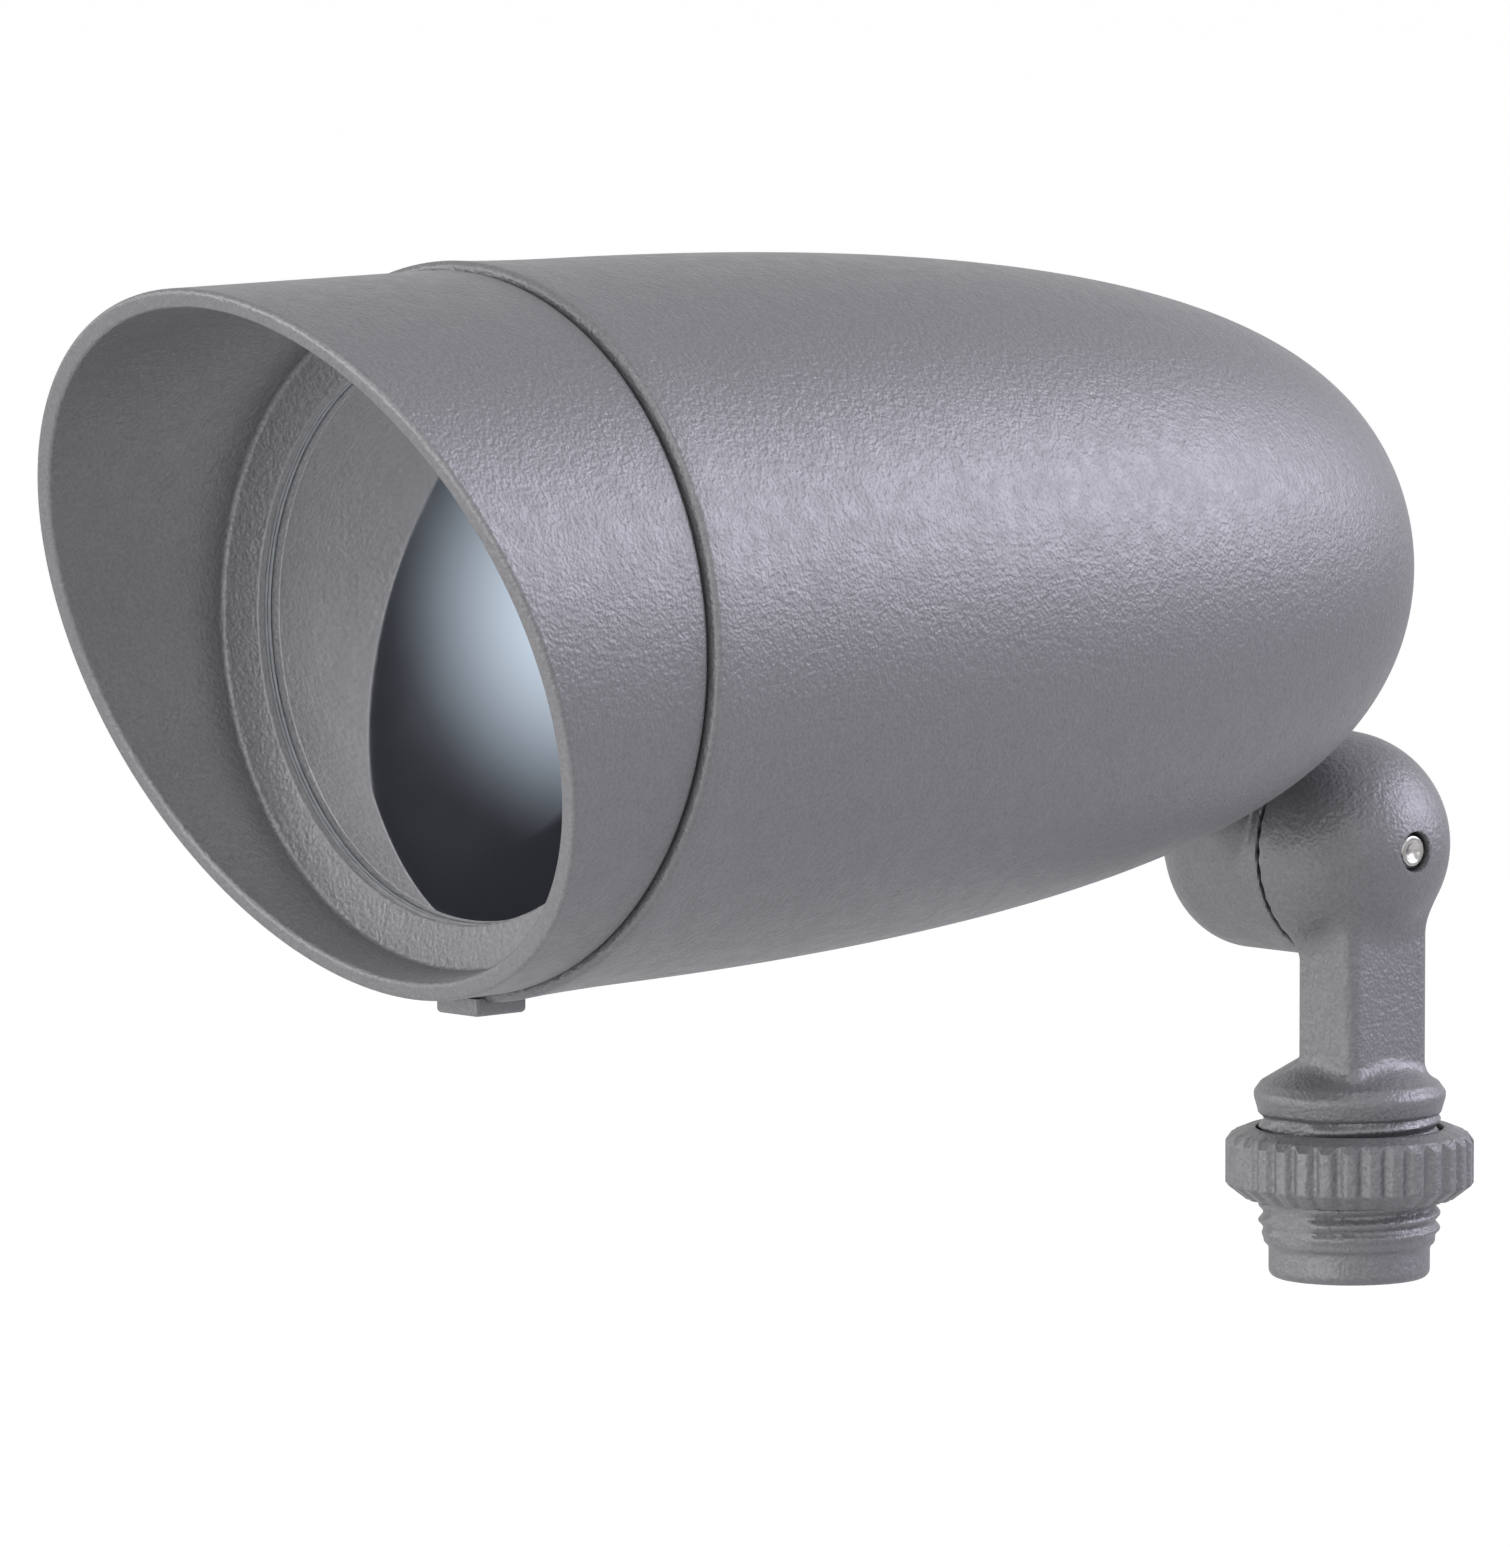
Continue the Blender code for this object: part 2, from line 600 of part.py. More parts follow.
def bolt_washer(axis, finish):
    back = BOLT_SEAT_X - SEAT_GAP - WASHER_THICKNESS
    front = BOLT_SEAT_X - SEAT_GAP
    bm = tube(BOLT_RADIUS + HOLE_GAP, WASHER_RADIUS, back, front, SHAFT_SEGMENTS // 2)
    finish_piece(solid("bolt_washer", bm, axis), finish)


def knuckle_seal(axis, finish):
    outer = KNUCKLE_HOLLOW_RADIUS - HOLE_GAP
    start = BOSS_FACE_X - SEAL_LENGTH + SEAL_OVERLAP
    bm = tube(outer - SEAL_WALL, outer, start, DOME_FACE_X + SEAL_OVERLAP, SHAFT_SEGMENTS)
    finish_piece(solid("knuckle_seal", bm, axis), finish)


def wire_grommet(pivot, finish):
    outer = WIRE_PASSAGE_RADIUS - HOLE_GAP
    bm = tube(outer - GROMMET_WALL, outer, GROMMET_START, GROMMET_START + GROMMET_LENGTH, 2 * SMALL_SEGMENTS)
    piece = solid("wire_grommet", bm, pivot, (PASSAGE_X, 0.0, 0.0), NECK_DIRECTION)
    finish_piece(piece, finish)


# Housing and hood


def housing(lamp, pivot, axis, finish):
    curve = bullet_curve(BODY_RADIUS, BODY_LENGTH, BULLET_STEPS)
    profile = [(MOUTH_RADIUS - BODY_EDGE, 0.0), (MOUTH_RADIUS, -BODY_EDGE)] + curve[1:]
    shell = solid("housing", turned(profile, HEAD_SEGMENTS), lamp)
    lug = solid("lug", block(
        (-LUG_HALF_WIDTH, -BODY_RADIUS - LUG_HEIGHT, -LUG_FRONT - LUG_LENGTH),
        (LUG_HALF_WIDTH, -BORE_RADIUS - BODY_WALL / 2, -LUG_FRONT),
        LUG_ROUNDING,
    ), lamp)
    boss = knuckle_boss(axis)
    neck = knuckle_neck(pivot)
    teeth = tooth_ring(axis, SEAM_X - TOOTH_GAP / 2, 1)
    combine(shell, [lug, boss, neck, teeth], "UNION")

    inner = bullet_curve(BODY_RADIUS - BODY_WALL, BODY_LENGTH - BODY_WALL, CAVITY_STEPS)
    tail = [point for point in inner if point[0] < CORE_RADIUS and point[1] < LEDGE]
    cavity = solid("cavity", turned([
        (BORE_RADIUS, CUT_MARGIN),
        (BORE_RADIUS, LEDGE),
        (CORE_RADIUS, LEDGE),
    ] + tail, HEAD_SEGMENTS), lamp)
    hollow = cutter(
        "hollow", KNUCKLE_HOLLOW_RADIUS, BOSS_HOLLOW_END_X, SEAM_X + CUT_MARGIN, SHAFT_SEGMENTS, axis)
    bolt_hole = cutter(
        "bolt_hole", BOLT_RADIUS + HOLE_GAP, BOSS_END_X, SEAM_X, SHAFT_SEGMENTS // 2, axis)
    counterbore = cutter(
        "counterbore", WASHER_RADIUS + HOLE_GAP, BOSS_END_X - CUT_MARGIN, BOLT_SEAT_X, SHAFT_SEGMENTS // 2, axis)
    passage = cutter(
        "passage", WIRE_PASSAGE_RADIUS, KNUCKLE_HOLLOW_RADIUS / 2, math.hypot(NECK_REACH, NECK_RISE),
        2 * SMALL_SEGMENTS, pivot, (PASSAGE_X, 0.0, 0.0), NECK_DIRECTION)
    set_screw_hole = cutter(
        "set_screw_hole", SET_SCREW_RADIUS + HOLE_GAP, SPIGOT_RADIUS - CUT_MARGIN,
        BODY_RADIUS + LUG_HEIGHT + CUT_MARGIN, SMALL_SEGMENTS, lamp,
        (0.0, 0.0, -SET_SCREW_SETBACK), (0.0, -1.0, 0.0))
    combine(shell, [cavity, hollow, bolt_hole, counterbore, passage, set_screw_hole], "DIFFERENCE")

    bosses = []
    holes = []
    for x, y in spreader_screw_places():
        bosses.append(cutter(
            "screw_boss", SCREW_BOSS_RADIUS, LEDGE - SCREW_BOSS_LENGTH, LEDGE - SCREW_BOSS_STEP,
            2 * SMALL_SEGMENTS, lamp, (x, y, 0.0)))
        holes.append(screw_hole(lamp, (x, y, LEDGE), LAMP_AXIS, SPREADER_SCREW_BITE + SEAT_GAP))
    combine(shell, bosses, "UNION")
    combine(shell, holes, "DIFFERENCE")
    finish_piece(shell, finish)


def rim_height(upward):
    """Place of the slanted rim along the lamp's axis, at a height above that axis."""
    middle = (HOOD_TOP_LENGTH + HOOD_BOTTOM_LENGTH) / 2
    slope = (HOOD_TOP_LENGTH - HOOD_BOTTOM_LENGTH) / (2 * HOOD_FRONT_RADIUS)
    return middle + slope * upward


def hood_section(angle):
    upward = math.cos(angle)
    outer = HOOD_FRONT_RADIUS
    inner = HOOD_FRONT_RADIUS - HOOD_RIM_WALL
    soft = HOOD_RIM_ROUNDING
    groove_end = GROOVE_START + GROOVE_WIDTH
    back = HOOD_SEAM_GAP
    outline = [
        (SPIGOT_INNER_RADIUS, -SPIGOT_LENGTH),
        (SPIGOT_INNER_RADIUS, LIP_BACK),
        (LIP_RADIUS, LIP_BACK),
        (LIP_RADIUS, LIP_FRONT),
        (HOOD_INNER_RADIUS, LIP_FRONT + LIP_RISE),
        (inner, rim_height(inner * upward) - soft),
        (inner + soft, rim_height((inner + soft) * upward)),
        (outer - soft, rim_height((outer - soft) * upward)),
        (outer, rim_height(outer * upward) - soft),
        (HOOD_BACK_RADIUS, back + HOOD_EDGE),
        (HOOD_BACK_RADIUS - HOOD_EDGE, back),
        (SPIGOT_RADIUS, back),
        (SPIGOT_RADIUS, -GROOVE_START),
        (SPIGOT_RADIUS - GROOVE_DEPTH, -GROOVE_START),
        (SPIGOT_RADIUS - GROOVE_DEPTH, -groove_end),
        (SPIGOT_RADIUS, -groove_end),
        (SPIGOT_RADIUS, SPIGOT_CHAMFER - SPIGOT_LENGTH),
        (SPIGOT_RADIUS - SPIGOT_CHAMFER, -SPIGOT_LENGTH),
    ]
    return [(r * math.sin(angle), r * math.cos(angle), s) for r, s in outline]


def hood(lamp, finish):
    sections = [hood_section(math.tau * i / HEAD_SEGMENTS) for i in range(HEAD_SEGMENTS)]
    finish_piece(solid("hood", swept_ring(sections), lamp), finish)


def hood_o_ring(lamp, finish):
    floor = SPIGOT_RADIUS - GROOVE_DEPTH
    thickness = (BORE_RADIUS - floor - 2 * SEAT_GAP) / 2
    middle = (BORE_RADIUS + floor) / 2
    height = -GROOVE_START - GROOVE_WIDTH / 2
    profile = []
    for i in range(O_RING_STEPS):
        angle = -math.tau * i / O_RING_STEPS
        profile.append((middle + thickness * math.cos(angle), height + thickness * math.sin(angle)))
    finish_piece(solid("hood_o_ring", turned(profile, RING_SEGMENTS, ring=True), lamp), finish)


def hood_lock_screw(lamp, finish):
    start = SPIGOT_RADIUS + SEAT_GAP
    end = BODY_RADIUS + LUG_HEIGHT - SET_SCREW_SINK
    profile = [
        (SET_SCREW_RADIUS, start),
        (SET_SCREW_RADIUS, end),
        (SCREW_RECESS_RADIUS, end),
        (SCREW_RECESS_RADIUS, end - SOCKET_DEPTH),
    ]
    piece = solid(
        "hood_lock_screw", turned(profile, SMALL_SEGMENTS), lamp,
        (0.0, 0.0, -SET_SCREW_SETBACK), (0.0, -1.0, 0.0),
    )
    finish_piece(piece, finish)


# Lens stack


def lens_gasket(lamp, finish):
    bm = tube(
        LENS_RADIUS - GASKET_WIDTH, LENS_RADIUS, GASKET_FRONT - GASKET_THICKNESS, GASKET_FRONT, RING_SEGMENTS)
    finish_piece(solid("lens_gasket", bm, lamp), finish)


def lens(lamp, finish):
    back = LENS_FRONT - LENS_THICKNESS
    profile = [
        (LENS_RADIUS - LENS_CHAMFER, LENS_FRONT),
        (LENS_RADIUS, LENS_FRONT - LENS_CHAMFER),
        (LENS_RADIUS, back + LENS_CHAMFER),
        (LENS_RADIUS - LENS_CHAMFER, back),
    ]
    finish_piece(solid("lens", turned(profile, RING_SEGMENTS), lamp), finish)


def lens_retainer(lamp, finish):
    back = RETAINER_FRONT - RETAINER_THICKNESS
    ring = solid("lens_retainer", tube(
        LENS_RADIUS - RETAINER_WIDTH, LENS_RADIUS, back, RETAINER_FRONT, RING_SEGMENTS), lamp)
    reach = LENS_RADIUS + CUT_MARGIN
    notch = solid("notch", block(
        (-reach, -RETAINER_NOTCH / 2, back - CUT_MARGIN),
        (reach, RETAINER_NOTCH / 2, back + RETAINER_NOTCH_DEPTH),
    ), lamp)
    combine(ring, [notch], "DIFFERENCE")
    finish_piece(ring, finish)


# Light source


def reflector(lamp, finish):
    bowl = []
    for i in range(BOWL_STEPS + 1):
        depth = REFLECTOR_DEPTH * i / BOWL_STEPS
        share = depth / REFLECTOR_DEPTH
        square = REFLECTOR_NECK_RADIUS ** 2 + share * (REFLECTOR_RADIUS ** 2 - REFLECTOR_NECK_RADIUS ** 2)
        bowl.append((math.sqrt(square), REFLECTOR_FRONT - REFLECTOR_DEPTH + depth))
    edge = REFLECTOR_RADIUS + REFLECTOR_WALL + REFLECTOR_FLANGE
    flange = [(edge, REFLECTOR_FRONT), (edge, REFLECTOR_FRONT - REFLECTOR_WALL)]
    outside = [(r + REFLECTOR_WALL, s) for r, s in bowl[:-1]]
    step = [(REFLECTOR_RADIUS + REFLECTOR_WALL, REFLECTOR_FRONT - REFLECTOR_WALL)]
    profile = bowl + flange + step + outside[::-1]
    finish_piece(solid("reflector", turned(profile, RING_SEGMENTS, ring=True), lamp), finish)


def square_plate(name, lamp, half_width, back, front, finish):
    bm = block((-half_width, -half_width, back), (half_width, half_width, front))
    finish_piece(solid(name, bm, lamp), finish)


def led_emitter(lamp, finish):
    back = EMITTER_FRONT - EMITTER_HEIGHT
    profile = [
        (EMITTER_RADIUS - EMITTER_HEIGHT / 2, EMITTER_FRONT),
        (EMITTER_RADIUS, back + EMITTER_HEIGHT / 2),
        (EMITTER_RADIUS, back),
    ]
    finish_piece(solid("led_emitter", turned(profile, 2 * SMALL_SEGMENTS), lamp), finish)


def led_holder(lamp, finish, screw_finish):
    bm = tube(HOLDER_HOLE_RADIUS, HOLDER_RADIUS, HOLDER_BACK, HOLDER_FRONT, RING_SEGMENTS)
    holder = solid("led_holder", bm, lamp)
    half = BOARD_HALF_WIDTH + HOLE_GAP
    tools = [solid("pocket", block(
        (-half, -half, HOLDER_BACK - CUT_MARGIN), (half, half, BOARD_FRONT + SEAT_GAP)), lamp)]
    depth = HOLDER_HEIGHT + CUT_MARGIN
    for i, side in enumerate((-1, 1)):
        place = (0.0, side * HOLDER_SCREW_OFFSET, HOLDER_FRONT)
        tools.append(screw_hole(lamp, place, LAMP_AXIS, depth))
        bite = HOLDER_HEIGHT + SEAT_GAP + HOLDER_SCREW_BITE
        screw(f"led_holder_screw_{i + 1}", lamp, place, LAMP_AXIS, bite, screw_finish)
    combine(holder, tools, "DIFFERENCE")
    finish_piece(holder, finish)


def heat_spreader(lamp, finish, screw_finish):
    bm = cylinder(BORE_RADIUS - HOLE_GAP, SPREADER_BACK, SPREADER_FRONT, HEAD_SEGMENTS)
    plate = solid("heat_spreader", bm, lamp)
    through = SPREADER_THICKNESS + CUT_MARGIN
    holes = []
    for i, (x, y) in enumerate(spreader_screw_places()):
        place = (x, y, SPREADER_FRONT)
        holes.append(screw_hole(lamp, place, LAMP_AXIS, through))
        bite = SPREADER_THICKNESS + SEAT_GAP + SPREADER_SCREW_BITE
        screw(f"spreader_screw_{i + 1}", lamp, place, LAMP_AXIS, bite, screw_finish)
    for side in (-1, 1):
        place = (0.0, side * HOLDER_SCREW_OFFSET, SPREADER_FRONT)
        holes.append(screw_hole(lamp, place, LAMP_AXIS, HOLDER_SCREW_BITE + SEAT_GAP))
        place = (side * EAR_OFFSET, 0.0, SPREADER_BACK)
        holes.append(screw_hole(lamp, place, -LAMP_AXIS, DRIVER_SCREW_BITE + SEAT_GAP))
    holes.append(cutter(
        "wire_hole", SPREADER_WIRE_HOLE_RADIUS, SPREADER_BACK - CUT_MARGIN, SPREADER_FRONT + CUT_MARGIN,
        2 * SMALL_SEGMENTS, lamp, (0.0, -SPREADER_WIRE_HOLE_OFFSET, 0.0)))
    combine(plate, holes, "DIFFERENCE")
    finish_piece(plate, finish)


def driver_case(lamp, finish, screw_finish):
    back = DRIVER_FRONT - DRIVER_LENGTH
    case = solid("driver_case", block(
        (-DRIVER_HALF_WIDTH, -DRIVER_HALF_HEIGHT, back),
        (DRIVER_HALF_WIDTH, DRIVER_HALF_HEIGHT, DRIVER_FRONT - DRIVER_EAR_THICKNESS / 2),
        DRIVER_ROUNDING,
    ), lamp)
    ear_back = DRIVER_FRONT - DRIVER_EAR_THICKNESS
    reach = DRIVER_HALF_WIDTH + DRIVER_EAR_LENGTH
    strap = solid("strap", block(
        (-reach, -DRIVER_EAR_HALF_HEIGHT, ear_back),
        (reach, DRIVER_EAR_HALF_HEIGHT, DRIVER_FRONT),
        DRIVER_ROUNDING,
    ), lamp)
    combine(case, [strap], "UNION")
    holes = []
    for i, side in enumerate((-1, 1)):
        place = (side * EAR_OFFSET, 0.0, ear_back)
        holes.append(screw_hole(lamp, place, -LAMP_AXIS, DRIVER_EAR_THICKNESS + CUT_MARGIN))
        bite = DRIVER_EAR_THICKNESS + SEAT_GAP + DRIVER_SCREW_BITE
        screw(f"driver_screw_{i + 1}", lamp, place, -LAMP_AXIS, bite, screw_finish)
    combine(case, holes, "DIFFERENCE")
    finish_piece(case, finish)


def build():
    clear_scene()
    coat = material("silver_powder_coat", (0.27, 0.26, 0.275), 0.5, 0.35)
    steel = material("stainless_steel", (0.62, 0.61, 0.60), 0.25, 1.0)
    rubber = material("black_rubber", (0.02, 0.02, 0.022), 0.8, 0.0)
    clear_glass = material("lens_glass", (0.55, 0.62, 0.66), 0.03, 0.0)
    bright = material("bright_aluminium", (0.82, 0.82, 0.83), 0.12, 1.0)
    plain_aluminium = material("plain_aluminium", (0.6, 0.6, 0.6), 0.4, 1.0)
    phosphor = material("yellow_phosphor", (0.85, 0.68, 0.12), 0.6, 0.0)
    board_finish = material("white_ceramic", (0.8, 0.8, 0.78), 0.5, 0.0)
    silicone = material("grey_silicone", (0.35, 0.37, 0.4), 0.8, 0.0)
    plastic = material("black_plastic", (0.03, 0.03, 0.03), 0.5, 0.0)

    thread_axis = empty("thread_axis", (0.0, 0.0, 0.0))
    pivot = empty("head_pivot", (0.0, 0.0, PIVOT_HEIGHT))
    bolt_axis = empty("knuckle_axis", (0.0, 0.0, PIVOT_HEIGHT), (0.0, math.pi / 2, 0.0))
    tilt_axis = empty("tilt_axis", (0.0, 0.0, 0.0), (0.0, math.pi / 2, 0.0), pivot)
    lamp = empty("lamp_axis", (0.0, -SEAM_REACH, HEAD_RISE), (math.pi / 2, 0.0, 0.0), pivot)

    knuckle_arm(bolt_axis, coat)
    locknut(thread_axis, coat)
    clamp_bolt(bolt_axis, steel)
    bolt_washer(tilt_axis, steel)
    knuckle_seal(tilt_axis, rubber)
    wire_grommet(pivot, rubber)
    housing(lamp, pivot, tilt_axis, coat)
    hood(lamp, coat)
    hood_o_ring(lamp, rubber)
    hood_lock_screw(lamp, steel)
    lens_gasket(lamp, silicone)
    lens(lamp, clear_glass)
    lens_retainer(lamp, plain_aluminium)
    reflector(lamp, bright)
    led_emitter(lamp, phosphor)
    square_plate("led_board", lamp, BOARD_HALF_WIDTH, BOARD_FRONT - BOARD_THICKNESS, BOARD_FRONT, board_finish)
    square_plate("thermal_pad", lamp, PAD_HALF_WIDTH, PAD_FRONT - PAD_THICKNESS, PAD_FRONT, silicone)
    led_holder(lamp, plastic, steel)
    heat_spreader(lamp, plain_aluminium, steel)
    driver_case(lamp, plastic, steel)


build()
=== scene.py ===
import itertools
import math

import bmesh
import bpy
import numpy as np
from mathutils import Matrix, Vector


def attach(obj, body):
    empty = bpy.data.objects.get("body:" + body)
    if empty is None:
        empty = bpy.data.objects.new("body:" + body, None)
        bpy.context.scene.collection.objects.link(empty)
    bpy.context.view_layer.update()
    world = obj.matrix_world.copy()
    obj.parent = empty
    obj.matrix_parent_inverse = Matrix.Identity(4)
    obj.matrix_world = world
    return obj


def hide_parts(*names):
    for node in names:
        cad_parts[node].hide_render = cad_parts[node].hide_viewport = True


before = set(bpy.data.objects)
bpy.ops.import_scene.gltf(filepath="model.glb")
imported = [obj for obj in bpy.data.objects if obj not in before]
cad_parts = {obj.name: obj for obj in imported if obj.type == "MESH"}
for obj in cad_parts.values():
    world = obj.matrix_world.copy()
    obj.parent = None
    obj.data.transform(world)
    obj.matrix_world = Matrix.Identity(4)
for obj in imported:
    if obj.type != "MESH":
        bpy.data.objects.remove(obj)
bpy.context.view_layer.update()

MM = 0.001

# Camera, in degrees, metres and pixels of the photograph, with its sensor in millimetres
VIEW_AZIMUTH = 46.65
VIEW_ELEVATION = 6.18
VIEW_DISTANCE = 2.0
VIEW_TARGET = Vector((0.0, -0.0941, 0.0652))
FOCAL_PIXELS = 17984.0
PHOTO_LARGER_SIDE = 1547.0
SENSOR = 36.0

# World and floor: glow for diffuse light, for the camera and in mirrors, and the floor's sizes in metres
WORLD_AMBIENT = 0.05
WORLD_SEEN = 1.0
WORLD_MIRRORED = 0.94
FLOOR_SEEN = 0.97
FLOOR_MIRRORED = 0.63
FLOOR_HEIGHT = -0.25
FLOOR_HALF = 12.0
FLOOR_COLOUR = (0.5, 0.5, 0.5, 1.0)
FLOOR_ROUGHNESS = 0.9

# Lights: name, degrees of azimuth and elevation, metres of distance and size, watts and colour
WHITE = (1.0, 1.0, 1.0)
COOL = (0.87, 0.84, 1.0)
LIGHTS = [
    ("key", 147.0, 23.0, 1.2, (0.95, 0.7), 11.3, COOL),
    ("upper", 40.0, 55.0, 1.5, (0.8, 0.8), 6.2, WHITE),
    ("right", 72.0, 10.0, 1.5, (1.0, 0.6), 2.2, WHITE),
    ("front", -1.0, 4.0, 0.7, (0.95, 0.6), 3.9, WHITE),
    ("left", -44.0, 6.0, 1.5, (1.6, 0.8), 10.0, WHITE),
]

# Card that the lens mirrors, in metres: a glow in a dark ring with a white border
FLAG_HALF = 0.09
FLAG_DISTANCE = 0.3
FLAG_OFFSET = (-0.0098, -0.0045, 0.0)
FLAG_STRETCH = (1.0, 0.8, 1.0)
FLAG_REACH = 0.088
FLAG_DARK_RANGE = (0.29, 0.68)
FLAG_GLOW = (0.7, 0.8, 0.92, 1.0)
FLAG_DARK = (0.022, 0.023, 0.029, 1.0)
FLAG_BORDER = (1.0, 1.0, 1.0, 1.0)

# Materials: how the lens turns from clear to mirror, the noise that counts, scales of a plain finish
CLEAR_UP_TO = 0.08
MIRROR_FROM = 0.3
NOISE_LOW = 0.35
NOISE_HIGH = 0.65
MOTTLE_DETAIL = 3.0
ROUGHNESS_SCALE = 2.5
GRAIN_SCALE = 3.0

# Lamp axis and body, in millimetres from here on
AXIS_HEIGHT = 84.0
SEAM_Y = -138.0
BODY_RADIUS = 40.2
BODY_LENGTH = 133.9
LENGTH_POWER = 2.35
RADIUS_POWER = 3.27
BODY_WALL = 2.9
BODY_EDGE = 0.75
MOUTH_FLARE = 0.5
MOUTH_LENGTH = 17.0
BORE_RADIUS = 37.3
LEDGE = -44.3
SCREW_BOSS_RADIUS = 4.0
SCREW_BOSS_LENGTH = 13.0
SCREW_BOSS_STEP = 0.1
SPREADER_SCREWS = 3
SPREADER_SCREW_OFFSET = 33.0
SPREADER_SCREW_BITE = 7.3
SPREADER_SCREW_HOLE_RADIUS = 1.8
CORE_RADIUS = 34.5
HOLE_GAP = 0.3
LUG_HALF_WIDTH = 3.4
LUG_FRONT = -0.15
LUG_BACK = -6.35
LUG_NOSE = 1.2
LUG_NOSE_RADIUS = 40.1
LUG_RADIUS = 42.1
LUG_ROOT = 1.5
LUG_ROUNDING = 0.55
LUG_ROUNDING_STEPS = 4
SET_SCREW_PLACE = -3.3
SET_SCREW_RADIUS = 2.0
SET_SCREW_START = 37.3
SET_SCREW_END = 41.6
SET_SCREW_ROUNDING = 0.35
SET_SCREW_SOCKET_RADIUS = 1.0
SET_SCREW_SOCKET_BLEND = 0.1

# Hood and lens
HOOD_FRONT_RADIUS = 39.9
HOOD_BACK_RADIUS = 39.75
HOOD_RIM_WALL = 2.1
HOOD_RIM_MIDDLE = 23.75
HOOD_RIM_SLOPE = 0.403
HOOD_INNER_RADIUS = 37.0
HOOD_BACK = 0.3
LIP_RADIUS = 32.0
LIP_BACK = 0.4
LIP_FRONT = 1.4
LIP_RISE = 0.9
SPIGOT_INNER_RADIUS = 34.2
SPIGOT_RADIUS = 37.0
SPIGOT_BACK = -14.0
GROOVE_FRONT = -6.5
GROOVE_BACK = -9.1
GROOVE_RADIUS = 35.2
GASKET_RADIUS = 32.1
GASKET_BACK = 0.03
GASKET_FRONT = 0.37
LENS_RADIUS = 33.9
LENS_FRONT = 0.0
LENS_BACK = -3.9
LENS_EDGE = 0.4
LENS_EDGE_STEPS = 4
LENS_RINGS = (12.0, 24.0)

# Rounding and steps of the turned pieces' corners
FINE_CORNER = (0.2, 2)
GROOVE_CORNER = (0.3, 2)
SPIGOT_CORNER = (0.4, 2)
LIP_EDGE_CORNER = (0.2, 3)
LIP_FRONT_CORNER = (0.35, 4)
LIP_ROOT_CORNER = (0.6, 4)
HOOD_RIM_CORNER = (0.55, 6)
HOOD_EDGE_CORNER = (0.75, 5)
GASKET_CORNER = (0.08, 2)
NUT_FACE_CORNER = (0.3, 3)
NUT_END_CORNER = (0.2, 3)
NUT_SIDE_CORNER = (0.4, 4)
NUT_STEP_CORNER = (0.1, 3)
WASHER_BORE_CORNER = (0.1, 2)
WASHER_CORNER = (0.2, 3)

# Knuckle
PIVOT_HEIGHT = 50.0
SEAM_X = -2.2
DOME_RADIUS = 13.0
DOME_FACE_X = -1.45
DOME_CREST_X = -2.1
DOME_HOLLOW_END_X = 5.3
BOSS_RADIUS = 13.1
BOSS_FACE_X = -2.95
BOSS_CREST_X = -2.3
BOSS_END_X = -21.5
BOSS_ROUNDING = 7.0
BOSS_HOLLOW_END_X = -11.5
NECK_RADIUS = 9.0
NECK_FACE_X = -3.65
NECK_END_X = -18.0
NECK_ROUNDING = 4.0
NECK_REACH = -24.0
NECK_RISE = 20.0
NECK_LENGTH = math.hypot(NECK_REACH, NECK_RISE)
NECK_LEAN = math.atan2(NECK_RISE, NECK_REACH)
NECK_FILLET = 4.0
NECK_SEAM_BLEND = 0.2
NECK_BLEND_GAIN = 2.8
NECK_BLEND_DEPTH = 3.0
BOSS_SINK = 0.03
BOSS_ROOT = 1.2
HOLLOW_RADIUS = 8.9
TOOTH_COUNT = 36
TOOTH_HEIGHT = 0.5
TOOTH_INNER_RADIUS = 9.5
TOOTH_FORM = (1.15, 0.08)
TOOTH_SLOPE = 0.85
TOOTH_BLEND = 0.25
RIM_TOOTH_HEIGHT = 0.16
RIM_TOOTH_START = DOME_RADIUS - 0.9
RIM_TOOTH_FULL = DOME_RADIUS - 0.5
TOOTH_FADE_START = DOME_RADIUS + 0.2
TOOTH_FADE_END = DOME_RADIUS + 0.8
PASSAGE_RADIUS = 2.8
PASSAGE_X = -8.4
COUNTERBORE_RADIUS = 4.5
BOLT_SEAT_X = -13.6
BOLT_HOLE_RADIUS = 2.3

# Clamp bolt and washer
BOLT_RADIUS = 2.0
BOLT_PITCH = 0.7
BOLT_THREAD_DEPTH = 0.3
BOLT_THREAD_SLOPE = 0.75
BOLT_THREAD_START_X = -8.0
BOLT_THREAD_FULL_X = -7.0
BOLT_TIP_X = 10.1
BOLT_TIP_ROUNDING = 0.45
BOLT_DISH_OFFSET = 1.6
BOLT_DISH_RADIUS = 2.0
BOLT_DISH_BLEND = 0.1
BOLT_HEAD_RADIUS = 3.5
BOLT_HEAD_ROUNDING = 0.5
BOLT_HEAD_FILLET = 0.4
BOLT_HEAD_OVERLAP = 1.0
BOLT_HEAD_FRONT_X = -15.0
BOLT_HEAD_BACK_X = -19.0
SOCKET_RADIUS = 1.6
SOCKET_DEPTH = 2.0
SOCKET_BLEND = 0.15
WASHER_RADIUS = 4.2
WASHER_FRONT_X = -13.9
WASHER_BACK_X = -14.7

